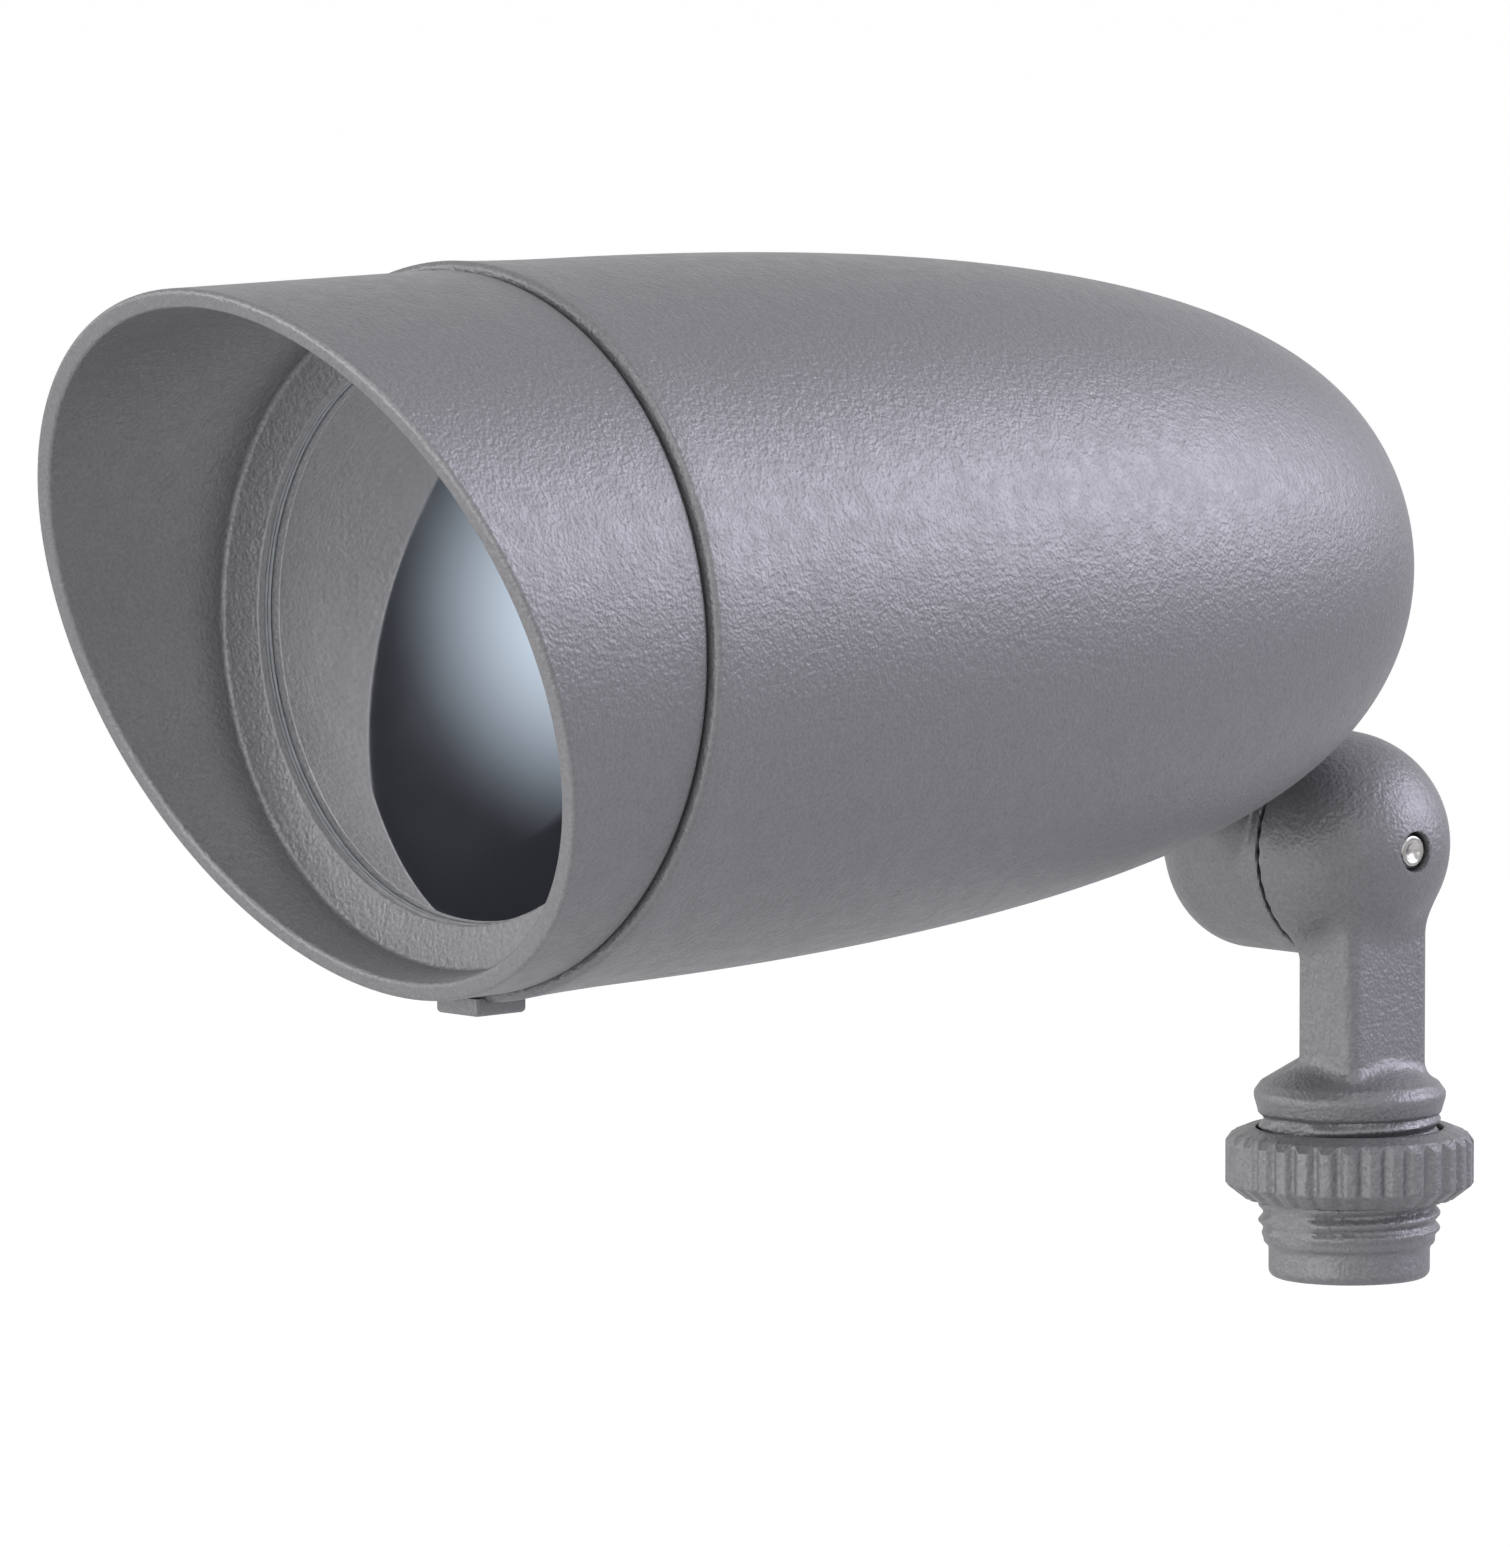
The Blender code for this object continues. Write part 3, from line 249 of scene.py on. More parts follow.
# Stem, collar, thread and locknut
STEM_BACK_X = -1.9
STEM_FRONT_X = 6.6
STEM_HALF_WIDTH = 6.7
STEM_ROUNDING = 1.9
STEM_BOTTOM = 21.5
STEM_BACK_BLEND = 0.7
STEM_FILLET = 1.6
STEM_OVERLAP = 2.0
STEM_END_BELOW_PIVOT = 3.0
COLLAR_FILLET = 1.2
COLLAR_EDGE = 0.35
COLLAR_BLEND = 0.4
COLLAR_CORE = -5.0
COLLAR_CORE_DROP = 1.3
COLLAR_ROOT_INSET = 0.25
COLLAR_ROOT_DROP = 1.2
SLOT_X = 2.6
SLOT_HALF_WIDTH = 2.45
SLOT_HALF_LENGTH = 3.9
SLOT_ROUNDING = 2.2
SLOT_OVERLAP = 2.0
FLANGE_RADIUS = 11.05
FLANGE_BOTTOM = 20.6
FLANGE_TOP = 21.8
COLLAR_SHOULDER_RADIUS = 10.4
COLLAR_SHOULDER = 22.7
COLLAR_RADIUS = 5.45
COLLAR_TOP = 25.7
THREAD_RADIUS = 10.5
THREAD_DEPTH = 0.62
THREAD_PITCH = 1.814
THREAD_FORM = (1.25, 0.1)
THREAD_SLOPE = 0.8
THREAD_BLEND = 0.3
THREAD_START = 4.3
THREAD_FULL = THREAD_START + 1.6
THREAD_TOP = 19.4
THREAD_FADE_START = THREAD_TOP - 0.6
THREAD_FADE_END = THREAD_TOP + 0.8
THREAD_FADE_SHARE = 0.8
THREAD_FLAT = 9.7
TIP_RADIUS = 9.3
TIP_ROUNDING = 1.0
SHANK_START = TIP_ROUNDING + 2.6
SHANK_CONE = 0.9
INLET_RADIUS = 7.4
INLET_DEPTH = 15.0
INLET_CHAMFER = 0.6
BORE_OVERLAP = 1.0
BORE_BLEND = 0.2
NUT_BORE_RADIUS = 10.8
NUT_RADIUS = 14.3
NUT_FACE_RADIUS = 11.9
NUT_LOWER_FACE_RADIUS = 12.1
NUT_BOTTOM = 9.2
NUT_TOP = 17.4
NUT_LOWER_CHAMFER = 1.7
NUT_UPPER_CHAMFER = 0.7
NUT_RIB_CHAMFER = 0.8
NUT_RIB_STEP_SHARE = 1.1
NUT_RIBS = 32
NUT_RIB_FLAT = 0.14
NUT_RIB_MIDDLE = 0.5
NUT_RIB_DEPTH = 0.6
NUT_RIB_END_DEPTH = 0.4

# Mesh fineness, margins of the cuts and the degrees beyond which an edge is sharp
SLIVER = 0.002
CUT_MARGIN = 2.0
SCREW_HOLE_MARGIN = 1.0
SHARP_ANGLE = 40.0
ARM_SHARP_ANGLE = 50.0
ROUND_SEGMENTS = 192
WIDE_HOLE_SEGMENTS = 96
COUNTERBORE_SEGMENTS = 64
HOLE_SEGMENTS = 48
SMALL_HOLE_SEGMENTS = 32
WASHER_SEGMENTS = 96
NUT_RIB_SEGMENTS = 16
BULLET_STEPS = 96
BULLET_INNER_STEPS = 24
BODY_EDGE_STEPS = 6
BODY_EDGE_GUARD = 0.12
BODY_EDGE_CLEARANCE = 0.3
CORNER_GUARD = 0.2
ARM_CELL = 0.3
BOSS_CELL = 0.35
BOLT_CELL = 0.14

# Boxes that hold the pieces made from fields
ARM_BOX = (-12.6, -13.6, -1.0), (12.0, 13.6, 64.6)
BOSS_BOX = (-22.2, -42.0, PIVOT_HEIGHT - 14.0), (1.0, 14.0, PIVOT_HEIGHT + 26.0)
BOLT_BOX = (-19.5, -4.0, PIVOT_HEIGHT - 4.0), (10.8, 4.0, PIVOT_HEIGHT + 4.0)
SET_SCREW_BOX = (-2.6, -137.4, AXIS_HEIGHT - 42.2), (2.6, -132.0, AXIS_HEIGHT - 36.8)

# How points are moved onto a field's surface, as shares of a cell or a slope
SLOPE_STEP = 0.02
SLOPE_FLOOR = 0.1
MOVE_LIMIT = 0.5
RELAX_SHARE = 0.5
RELAX_ROUNDS = 3
SETTLE_ROUNDS = 2
LAST_SETTLE_ROUNDS = 3

# Limits that keep a division safe
LEAST_DEPTH = 1e-6
LEAST_SLOPE = 1e-4
LEAST_MOVE = 1e-9
MOST_COSINE = 0.9999


# Shapes as fields: negative inside, positive outside


def smooth_min(a, b, blend):
    overlap = np.maximum(blend - np.abs(a - b), 0.0) / blend
    return np.minimum(a, b) - overlap * overlap * blend / 4


def smooth_max(a, b, blend):
    return -smooth_min(-a, -b, blend)


def ramp(value, start, end):
    """0 before start, 1 after end and smooth between them."""
    t = np.clip((value - start) / (end - start), 0.0, 1.0)
    return t * t * (3 - 2 * t)


def corner_distance(a, b, rounding):
    """Distance from the corner of two half planes, rounded."""
    a = a + rounding
    b = b + rounding
    return np.hypot(np.maximum(a, 0.0), np.maximum(b, 0.0)) + np.minimum(np.maximum(a, b), 0.0) - rounding


def outline_distance(u, v, corners):
    """Distance from a closed outline in a plane."""
    nearest = np.full(u.shape, np.inf)
    inside = np.zeros(u.shape, bool)
    for (u0, v0), (u1, v1) in zip(corners, corners[1:] + corners[:1]):
        du, dv = u1 - u0, v1 - v0
        pu, pv = u - u0, v - v0
        along = np.clip((pu * du + pv * dv) / (du * du + dv * dv), 0.0, 1.0)
        nearest = np.minimum(nearest, (pu - du * along) ** 2 + (pv - dv * along) ** 2)
        if dv != 0.0:
            inside ^= ((v0 > v) != (v1 > v)) & (pu < du * pv / dv)
    return np.where(inside, -1.0, 1.0) * np.sqrt(nearest)


def triangle_wave(turns):
    """1 at whole turns, 0 half way between them."""
    return np.abs(2 * (turns - np.floor(turns)) - 1)


def flattened(wave, form):
    """The wave with flat crests and roots. The form is its gain and how far it is lowered."""
    gain, lower = form
    return np.clip(gain * wave - lower, 0.0, 1.0)


def hex_distance(u, v, radius):
    """Distance from a hexagon with that distance from its middle to its sides."""
    far = np.full(u.shape, -np.inf)
    for i in range(6):
        angle = math.tau * i / 6
        far = np.maximum(far, u * math.cos(angle) + v * math.sin(angle))
    return far - radius


def tooth_relief(y, z, rho):
    """How far the toothed face lies behind its crests."""
    drop = RIM_TOOTH_HEIGHT - TOOTH_HEIGHT
    height = TOOTH_HEIGHT + drop * ramp(rho, RIM_TOOTH_START, RIM_TOOTH_FULL)
    height = height * (1 - ramp(rho, TOOTH_FADE_START, TOOTH_FADE_END))
    wave = triangle_wave(np.arctan2(z, y) * TOOTH_COUNT / math.tau)
    return height * flattened(wave, TOOTH_FORM)


def arm_field(x, y, z):
    """The arm: thread, collar, flat stem and toothed dome, with the bores cut out."""
    rho = np.hypot(x, y)
    turn = np.arctan2(y, x)
    up = z - PIVOT_HEIGHT
    spoke = np.hypot(y, up)

    tip = corner_distance(rho - TIP_RADIUS, -z, TIP_ROUNDING)
    tip = np.maximum(tip, z - FLANGE_BOTTOM)
    wave = triangle_wave(z / THREAD_PITCH - turn / math.tau)
    fade_in = ramp(z, THREAD_START, THREAD_FULL)
    fade_out = 1 - THREAD_FADE_SHARE * ramp(z, THREAD_FADE_START, THREAD_FADE_END)
    crest = flattened(wave, THREAD_FORM) * (fade_in * fade_out)
    root = THREAD_RADIUS - THREAD_DEPTH
    shank = THREAD_SLOPE * (rho - root - THREAD_DEPTH * crest)
    start = SHANK_START - z + SHANK_CONE * (rho - TIP_RADIUS)
    shank = np.maximum(shank, np.maximum(start, z - FLANGE_BOTTOM))
    shank = smooth_max(shank, np.abs(y) - THREAD_FLAT, THREAD_BLEND)
    body = smooth_min(tip, shank, THREAD_BLEND)

    edge = COLLAR_EDGE
    collar = outline_distance(rho, z, [
        (COLLAR_CORE, FLANGE_BOTTOM - COLLAR_CORE_DROP),
        (THREAD_RADIUS - COLLAR_ROOT_INSET, FLANGE_BOTTOM - COLLAR_ROOT_DROP),
        (FLANGE_RADIUS - edge, FLANGE_BOTTOM + edge),
        (FLANGE_RADIUS - edge, FLANGE_TOP - edge),
        (COLLAR_SHOULDER_RADIUS - edge, COLLAR_SHOULDER - edge),
        (COLLAR_RADIUS - edge, COLLAR_TOP - edge),
        (COLLAR_CORE, COLLAR_TOP - edge),
    ]) - edge
    body = smooth_min(body, collar, COLLAR_BLEND)

    across = corner_distance(x - STEM_FRONT_X, np.abs(y) - STEM_HALF_WIDTH, STEM_ROUNDING)
    stem = smooth_max(across, STEM_BACK_X - x, STEM_BACK_BLEND)
    stem = np.maximum(stem, STEM_BOTTOM - z)
    body = smooth_min(body, np.maximum(stem, up + DOME_RADIUS + STEM_OVERLAP), COLLAR_FILLET)

    ball = np.sqrt((x - SEAM_X) ** 2 + spoke ** 2) - DOME_RADIUS
    face = DOME_CREST_X + tooth_relief(y, up, spoke)
    face = np.where(spoke < TOOTH_INNER_RADIUS, DOME_FACE_X, face)
    head = smooth_min(ball, np.maximum(stem, up + STEM_END_BELOW_PIVOT), STEM_FILLET)
    body = np.minimum(smooth_max(head, TOOTH_SLOPE * (face - x), TOOTH_BLEND), body)

    hollow = np.maximum(spoke - HOLLOW_RADIUS, x - DOME_HOLLOW_END_X)
    inlet = np.maximum(rho - INLET_RADIUS - np.maximum(INLET_CHAMFER - z, 0.0), z - INLET_DEPTH)
    slot = corner_distance(
        np.abs(x - SLOT_X) - SLOT_HALF_WIDTH, np.abs(y) - SLOT_HALF_LENGTH, SLOT_ROUNDING)
    slot = np.maximum(slot, np.maximum(INLET_DEPTH - SLOT_OVERLAP - z, up + HOLLOW_RADIUS / 2))
    hole = np.maximum(spoke - BOLT_HOLE_RADIUS, DOME_HOLLOW_END_X - BORE_OVERLAP - x)
    bores = np.minimum(np.minimum(hollow, inlet), np.minimum(slot, hole))
    return smooth_max(body, -bores, BORE_BLEND)


def bolt_field(x, y, z):
    """The clamp bolt: threaded shank with a dished tip, and a head with a hexagon socket."""
    up = z - PIVOT_HEIGHT
    spoke = np.hypot(y, up)
    wave = triangle_wave(x / BOLT_PITCH - np.arctan2(up, y) / math.tau)
    relief = BOLT_THREAD_DEPTH * (1 - flattened(wave, THREAD_FORM))
    relief = relief * ramp(x, BOLT_THREAD_START_X, BOLT_THREAD_FULL_X)
    shank = BOLT_THREAD_SLOPE * (spoke - BOLT_RADIUS + relief)
    shank = np.maximum(shank, corner_distance(spoke - BOLT_RADIUS, x - BOLT_TIP_X, BOLT_TIP_ROUNDING))
    dish = np.sqrt((x - BOLT_TIP_X - BOLT_DISH_OFFSET) ** 2 + spoke ** 2) - BOLT_DISH_RADIUS
    shank = smooth_max(shank, -dish, BOLT_DISH_BLEND)
    shank = np.maximum(shank, BOLT_HEAD_BACK_X + BOLT_HEAD_OVERLAP - x)
    head = corner_distance(spoke - BOLT_HEAD_RADIUS, BOLT_HEAD_BACK_X - x, BOLT_HEAD_ROUNDING)
    head = np.maximum(head, x - BOLT_HEAD_FRONT_X)
    socket = np.maximum(hex_distance(y, up, SOCKET_RADIUS), x - BOLT_HEAD_BACK_X - SOCKET_DEPTH)
    return smooth_max(smooth_min(shank, head, BOLT_HEAD_FILLET), -socket, SOCKET_BLEND)


def set_screw_field(x, y, z):
    """The lock screw in the lug, with a hexagon socket in its lower end."""
    drop = AXIS_HEIGHT - z
    ahead = SEAM_Y - y - SET_SCREW_PLACE
    spoke = np.hypot(x, ahead)
    body = corner_distance(spoke - SET_SCREW_RADIUS, drop - SET_SCREW_END, SET_SCREW_ROUNDING)
    body = np.maximum(body, SET_SCREW_START - drop)
    socket = hex_distance(x, ahead, SET_SCREW_SOCKET_RADIUS)
    socket = np.maximum(socket, SET_SCREW_END - SOCKET_DEPTH - drop)
    return smooth_max(body, -socket, SET_SCREW_SOCKET_BLEND)


def bullet_distance(x, y, z):
    """Distance from the body's bullet shape, true near its surface."""
    rho = np.hypot(x, z - AXIS_HEIGHT) / BODY_RADIUS
    back = np.maximum(y - SEAM_Y, LEAST_DEPTH) / BODY_LENGTH
    value = rho ** RADIUS_POWER + back ** LENGTH_POWER - 1
    slope_r = RADIUS_POWER * rho ** (RADIUS_POWER - 1) / BODY_RADIUS
    slope_s = LENGTH_POWER * back ** (LENGTH_POWER - 1) / BODY_LENGTH
    return value / np.maximum(np.hypot(slope_r, slope_s), LEAST_SLOPE)


def boss_field(x, y, z):
    """The toothed boss, its neck and the fillet to the body, down to a little way inside the body."""
    up = z - PIVOT_HEIGHT
    spoke = np.hypot(y, up)
    boss = corner_distance(spoke - BOSS_RADIUS, BOSS_END_X - x, BOSS_ROUNDING)
    face = BOSS_CREST_X - tooth_relief(y, up, spoke)
    face = np.where(spoke < TOOTH_INNER_RADIUS, BOSS_FACE_X, face)
    boss = smooth_max(boss, TOOTH_SLOPE * (x - face), TOOTH_BLEND)

    along = (y * NECK_REACH + up * NECK_RISE) / NECK_LENGTH
    aside = (y * NECK_RISE - up * NECK_REACH) / NECK_LENGTH
    outline = np.hypot(aside, along - np.clip(along, 0.0, NECK_LENGTH)) - NECK_RADIUS
    neck = corner_distance(outline, np.maximum(NECK_END_X - x, x - NECK_FACE_X), NECK_ROUNDING)
    neck = np.where(spoke < BOSS_RADIUS, np.maximum(neck, x - BOSS_FACE_X), neck)
    blend = NECK_SEAM_BLEND + NECK_BLEND_GAIN * ramp(BOSS_FACE_X - x, 0.0, NECK_BLEND_DEPTH)
    joined = smooth_min(boss, neck, blend)

    # The sink lets the fillet end just under the body's surface
    bullet = bullet_distance(x, y, z)
    shape = smooth_min(joined, bullet, NECK_FILLET) + BOSS_SINK
    return np.maximum(np.maximum(shape, joined - NECK_FILLET), -BOSS_ROOT - bullet)


# Meshes from fields


def slopes(field, points, step):
    """The field's slope at each point, from its values a step to either side."""
    result = np.empty_like(points)
    for axis in range(3):
        shift = np.zeros(3)
        shift[axis] = step
        result[:, axis] = (field(*(points + shift).T) - field(*(points - shift).T)) / (2 * step)
    return result


def settle(field, points, cell, rounds):
    """Move points onto the surface where the field is zero."""
    for _ in range(rounds):
        slope = slopes(field, points, SLOPE_STEP * cell)
        size = np.maximum((slope * slope).sum(1), SLOPE_FLOOR)
        move = -(field(*points.T) / size)[:, None] * slope
        length = np.maximum(np.linalg.norm(move, axis=1), LEAST_MOVE)
        points = points + move * np.minimum(1.0, MOVE_LIMIT * cell / length)[:, None]
    return points


def relax(points, quads, share):
    """Move each point a share of the way to the middle of its neighbours."""
    total = np.zeros_like(points)
    count = np.zeros(len(points))
    for i in range(4):
        near, far = quads[:, i], quads[:, (i + 1) % 4]
        np.add.at(total, near, points[far])
        np.add.at(total, far, points[near])
        np.add.at(count, near, 1)
        np.add.at(count, far, 1)
    return points + share * (total / count[:, None] - points)


def skin(field, low, high, cell):
    """Points and quads of the surface where the field is zero."""
    axes = [np.arange(a, b + cell, cell) for a, b in zip(low, high)]
    value = field(*np.meshgrid(*axes, indexing="ij"))
    inside = value < 0.0
    size = np.array(value.shape) - 1
    total = np.zeros(size, int)
    for i, j, k in itertools.product((0, 1), repeat=3):
        total += inside[i:size[0] + i, j:size[1] + j, k:size[2] + k]
    mixed = (total > 0) & (total < 8)
    index = np.full(mixed.shape, -1)
    index[mixed] = np.arange(mixed.sum())
    cells = np.argwhere(mixed)

    crossing = np.zeros(cells.shape)
    count = np.zeros(len(cells))
    for axis in range(3):
        for i, j in itertools.product((0, 1), repeat=2):
            start = cells.copy()
            start[:, (axis + 1) % 3] += i
            start[:, (axis + 2) % 3] += j
            end = start.copy()
            end[:, axis] += 1
            a = value[tuple(start.T)]
            b = value[tuple(end.T)]
            cut = (a < 0.0) != (b < 0.0)
            place = start.astype(float)
            place[:, axis] += np.where(cut, a / np.where(cut, a - b, 1.0), 0.0)
            crossing[cut] += place[cut]
            count[cut] += 1
    points = np.array(low) + cell * crossing / count[:, None]

    quads = []
    for axis in range(3):
        first, second = (axis + 1) % 3, (axis + 2) % 3
        below = [slice(None)] * 3
        above = [slice(None)] * 3
        below[axis] = slice(None, -1)
        above[axis] = slice(1, None)
        edge = np.argwhere(inside[tuple(below)] != inside[tuple(above)])
        outward = inside[tuple(edge.T)]
        around = []
        for i, j in ((1, 1), (0, 1), (0, 0), (1, 0)):
            corner = edge.copy()
            corner[:, first] -= i
            corner[:, second] -= j
            around.append(index[tuple(corner.T)])
        quad = np.stack(around, 1)
        quads.append(np.where(outward[:, None], quad, quad[:, ::-1]))
    quads = np.concatenate(quads)
    for _ in range(RELAX_ROUNDS):
        points = settle(field, relax(points, quads, RELAX_SHARE), cell, SETTLE_ROUNDS)
    return settle(field, points, cell, LAST_SETTLE_ROUNDS), quads.tolist()


# Meshes from sections


def rounded(corners):
    """A closed outline through corners of (u, v, radius, steps), with each corner rounded."""
    points = []
    count = len(corners)
    for i, (u, v, radius, steps) in enumerate(corners):
        here = np.array((u, v))
        to_last = np.array(corners[i - 1][:2]) - here
        to_next = np.array(corners[(i + 1) % count][:2]) - here
        to_last /= np.linalg.norm(to_last)
        to_next /= np.linalg.norm(to_next)
        half = 0.5 * math.acos(float(np.clip(to_last @ to_next, -MOST_COSINE, MOST_COSINE)))
        middle = here + (to_last + to_next) / np.linalg.norm(to_last + to_next) * radius / math.sin(half)
        start = here + to_last * radius / math.tan(half)
        end = here + to_next * radius / math.tan(half)
        a = math.atan2(*(start - middle)[::-1])
        b = math.atan2(*(end - middle)[::-1])
        sweep = (b - a + math.pi) % math.tau - math.pi
        guard = CORNER_GUARD * radius
        points.append(tuple(start + to_last * guard))
        for step in range(steps + 1):
            angle = a + sweep * step / steps
            points.append((middle[0] + radius * math.cos(angle), middle[1] + radius * math.sin(angle)))
        points.append(tuple(end + to_next * guard))
    return points


def ring_mesh(sections):
    """Points and quads of closed sections joined in a ring."""
    rings, count = len(sections), len(sections[0])
    points = [point for section in sections for point in section]
    faces = []
    for i in range(rings):
        here, after = i * count, (i + 1) % rings * count
        for j in range(count):
            k = (j + 1) % count
            faces.append((here + j, here + k, after + k, after + j))
    return points, faces


def turned_ring(outline, segments, place):
    """Points and quads of a closed outline turned round an axis that it doesn't touch."""
    turns = [math.tau * i / segments for i in range(segments)]
    return ring_mesh([[place(r, angle, s) for r, s in outline] for angle in turns])


def lathe(profile, segments, place):
    """Points and faces of a turned solid. The profile's first and last points lie on the axis."""
    points = [place(0.0, 0.0, profile[0][1])]
    inner = profile[1:-1]
    for i in range(segments):
        angle = math.tau * i / segments
        points += [place(r, angle, s) for r, s in inner]
    points.append(place(0.0, 0.0, profile[-1][1]))
    last = len(points) - 1
    count = len(inner)
    faces = []
    for i in range(segments):
        here, after = 1 + i * count, 1 + (i + 1) % segments * count
        faces.append((0, here, after))
        for j in range(count - 1):
            faces.append((here + j, here + j + 1, after + j + 1, after + j))
        faces.append((here + count - 1, last, after + count - 1))
    return points, faces


def lamp_point(r, angle, s):
    """The point s ahead of the seam plane, at a radius and angle round the lamp's axis."""
    return (r * math.sin(angle), SEAM_Y - s, AXIS_HEIGHT + r * math.cos(angle))


def beside_lamp_axis(offset, turn):
    """A place function for a rod that runs along the lamp's axis, beside it."""
    def place(r, angle, s):
        x, y, z = lamp_point(offset, turn, s)
        return (x + r * math.sin(angle), y, z + r * math.cos(angle))
    return place


def knuckle_point(r, angle, x):
    """The point at a radius and angle round the knuckle's axis."""
    return (x, r * math.cos(angle), PIVOT_HEIGHT + r * math.sin(angle))


# Objects


def add_mesh(name, points, faces):
    mesh = bpy.data.meshes.new(name)
    mesh.from_pydata((np.asarray(points, float) * MM).tolist(), [], faces)
    mesh.update()
    bm = bmesh.new()
    bm.from_mesh(mesh)
    bmesh.ops.recalc_face_normals(bm, faces=bm.faces)
    bm.to_mesh(mesh)
    bm.free()
    obj = bpy.data.objects.new(name, mesh)
    bpy.context.scene.collection.objects.link(obj)
    return obj


def clear_slivers(mesh):
    """Remove the faces with no area that joining and cutting leave behind."""
    bm = bmesh.new()
    bm.from_mesh(mesh)
    bmesh.ops.dissolve_degenerate(bm, dist=SLIVER * MM, edges=bm.edges)
    bmesh.ops.triangulate(bm, faces=[f for f in bm.faces if len(f.verts) > 4], ngon_method="BEAUTY")
    bmesh.ops.dissolve_degenerate(bm, dist=SLIVER * MM, edges=bm.edges)
    bm.to_mesh(mesh)
    bm.free()


def combine(target, tools, operation):
    """Join the tools to the target or cut them out of it, remove them and clear the slivers."""
    for tool in tools:
        modifier = target.modifiers.new(tool.name, "BOOLEAN")
        modifier.operation = operation
        modifier.solver = "MANIFOLD"
        modifier.object = tool
    bpy.context.view_layer.update()
    depsgraph = bpy.context.evaluated_depsgraph_get()
    target.data = bpy.data.meshes.new_from_object(target.evaluated_get(depsgraph))
    target.modifiers.clear()
    for tool in tools:
        bpy.data.objects.remove(tool)
    clear_slivers(target.data)


def finish_piece(obj, material, body, node, sharp=SHARP_ANGLE):
    """Give a piece its finish, and let it stand for its CAD node and ride on its body."""
    mesh = obj.data
    mesh.materials.clear()
    mesh.materials.append(material)
    mesh.shade_smooth()
    mesh.set_sharp_from_angle(angle=math.radians(sharp))
    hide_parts(node)
    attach(obj, body)


# Pieces


def hood_section(angle):
    """The hood's section at an angle round the lamp's axis, with its slanted rim."""
    upward = math.cos(angle)
    inner = HOOD_FRONT_RADIUS - HOOD_RIM_WALL

    def rim(r):
        return HOOD_RIM_MIDDLE + HOOD_RIM_SLOPE * r * upward

    outline = rounded([
        (SPIGOT_INNER_RADIUS, SPIGOT_BACK, *GROOVE_CORNER),
        (SPIGOT_INNER_RADIUS, LIP_BACK, *FINE_CORNER),
        (LIP_RADIUS, LIP_BACK, *LIP_EDGE_CORNER),
        (LIP_RADIUS, LIP_FRONT, *LIP_FRONT_CORNER),
        (HOOD_INNER_RADIUS, LIP_FRONT + LIP_RISE, *LIP_ROOT_CORNER),
        (inner, rim(inner), *HOOD_RIM_CORNER),
        (HOOD_FRONT_RADIUS, rim(HOOD_FRONT_RADIUS), *HOOD_RIM_CORNER),
        (HOOD_BACK_RADIUS, HOOD_BACK, *HOOD_EDGE_CORNER),
        (SPIGOT_RADIUS, HOOD_BACK, *FINE_CORNER),
        (SPIGOT_RADIUS, GROOVE_FRONT, *FINE_CORNER),
        (GROOVE_RADIUS, GROOVE_FRONT, *GROOVE_CORNER),
        (GROOVE_RADIUS, GROOVE_BACK, *GROOVE_CORNER),
        (SPIGOT_RADIUS, GROOVE_BACK, *FINE_CORNER),
        (SPIGOT_RADIUS, SPIGOT_BACK, *SPIGOT_CORNER),
    ])
    return [lamp_point(r, angle, s) for r, s in outline]


def make_hood():
    turns = [math.tau * i / ROUND_SEGMENTS for i in range(ROUND_SEGMENTS)]
    return add_mesh("hood_shell", *ring_mesh([hood_section(angle) for angle in turns]))


def make_lens():
    outline = []
    for face, inward in ((LENS_FRONT, -1), (LENS_BACK, 1)):
        half = [(r, face) for r in (0.0, *LENS_RINGS)]
        for i in range(LENS_EDGE_STEPS + 1):
            angle = 0.5 * math.pi * i / LENS_EDGE_STEPS
            half.append((
                LENS_RADIUS - LENS_EDGE + LENS_EDGE * math.sin(angle),
                face + inward * LENS_EDGE * (1 - math.cos(angle))))
        outline += half if face == LENS_FRONT else half[::-1]
    return add_mesh("lens_disc", *lathe(outline, ROUND_SEGMENTS, lamp_point))


def make_gasket():
    outline = rounded([
        (GASKET_RADIUS, GASKET_BACK, *GASKET_CORNER),
        (LENS_RADIUS, GASKET_BACK, *GASKET_CORNER),
        (LENS_RADIUS, GASKET_FRONT, *GASKET_CORNER),
        (GASKET_RADIUS, GASKET_FRONT, *GASKET_CORNER),
    ])
    return add_mesh("gasket_ring", *turned_ring(outline, ROUND_SEGMENTS, lamp_point))


def bullet_curve(radius, length, steps):
    """Points of the bullet shape from the seam plane to just short of its rear pole."""
    points = []
    for i in range(steps):
        angle = 0.5 * math.pi * i / steps
        points.append((
            radius * math.cos(angle) ** (2 / RADIUS_POWER),
            -length * math.sin(angle) ** (2 / LENGTH_POWER)))
    return points


def rod(name, radius, start, end, segments, place):
    """A plain cylinder from start to end along an axis."""
    profile = [(0.0, start), (radius, start), (radius, end), (0.0, end)]
    return add_mesh(name, *lathe(profile, segments, place))


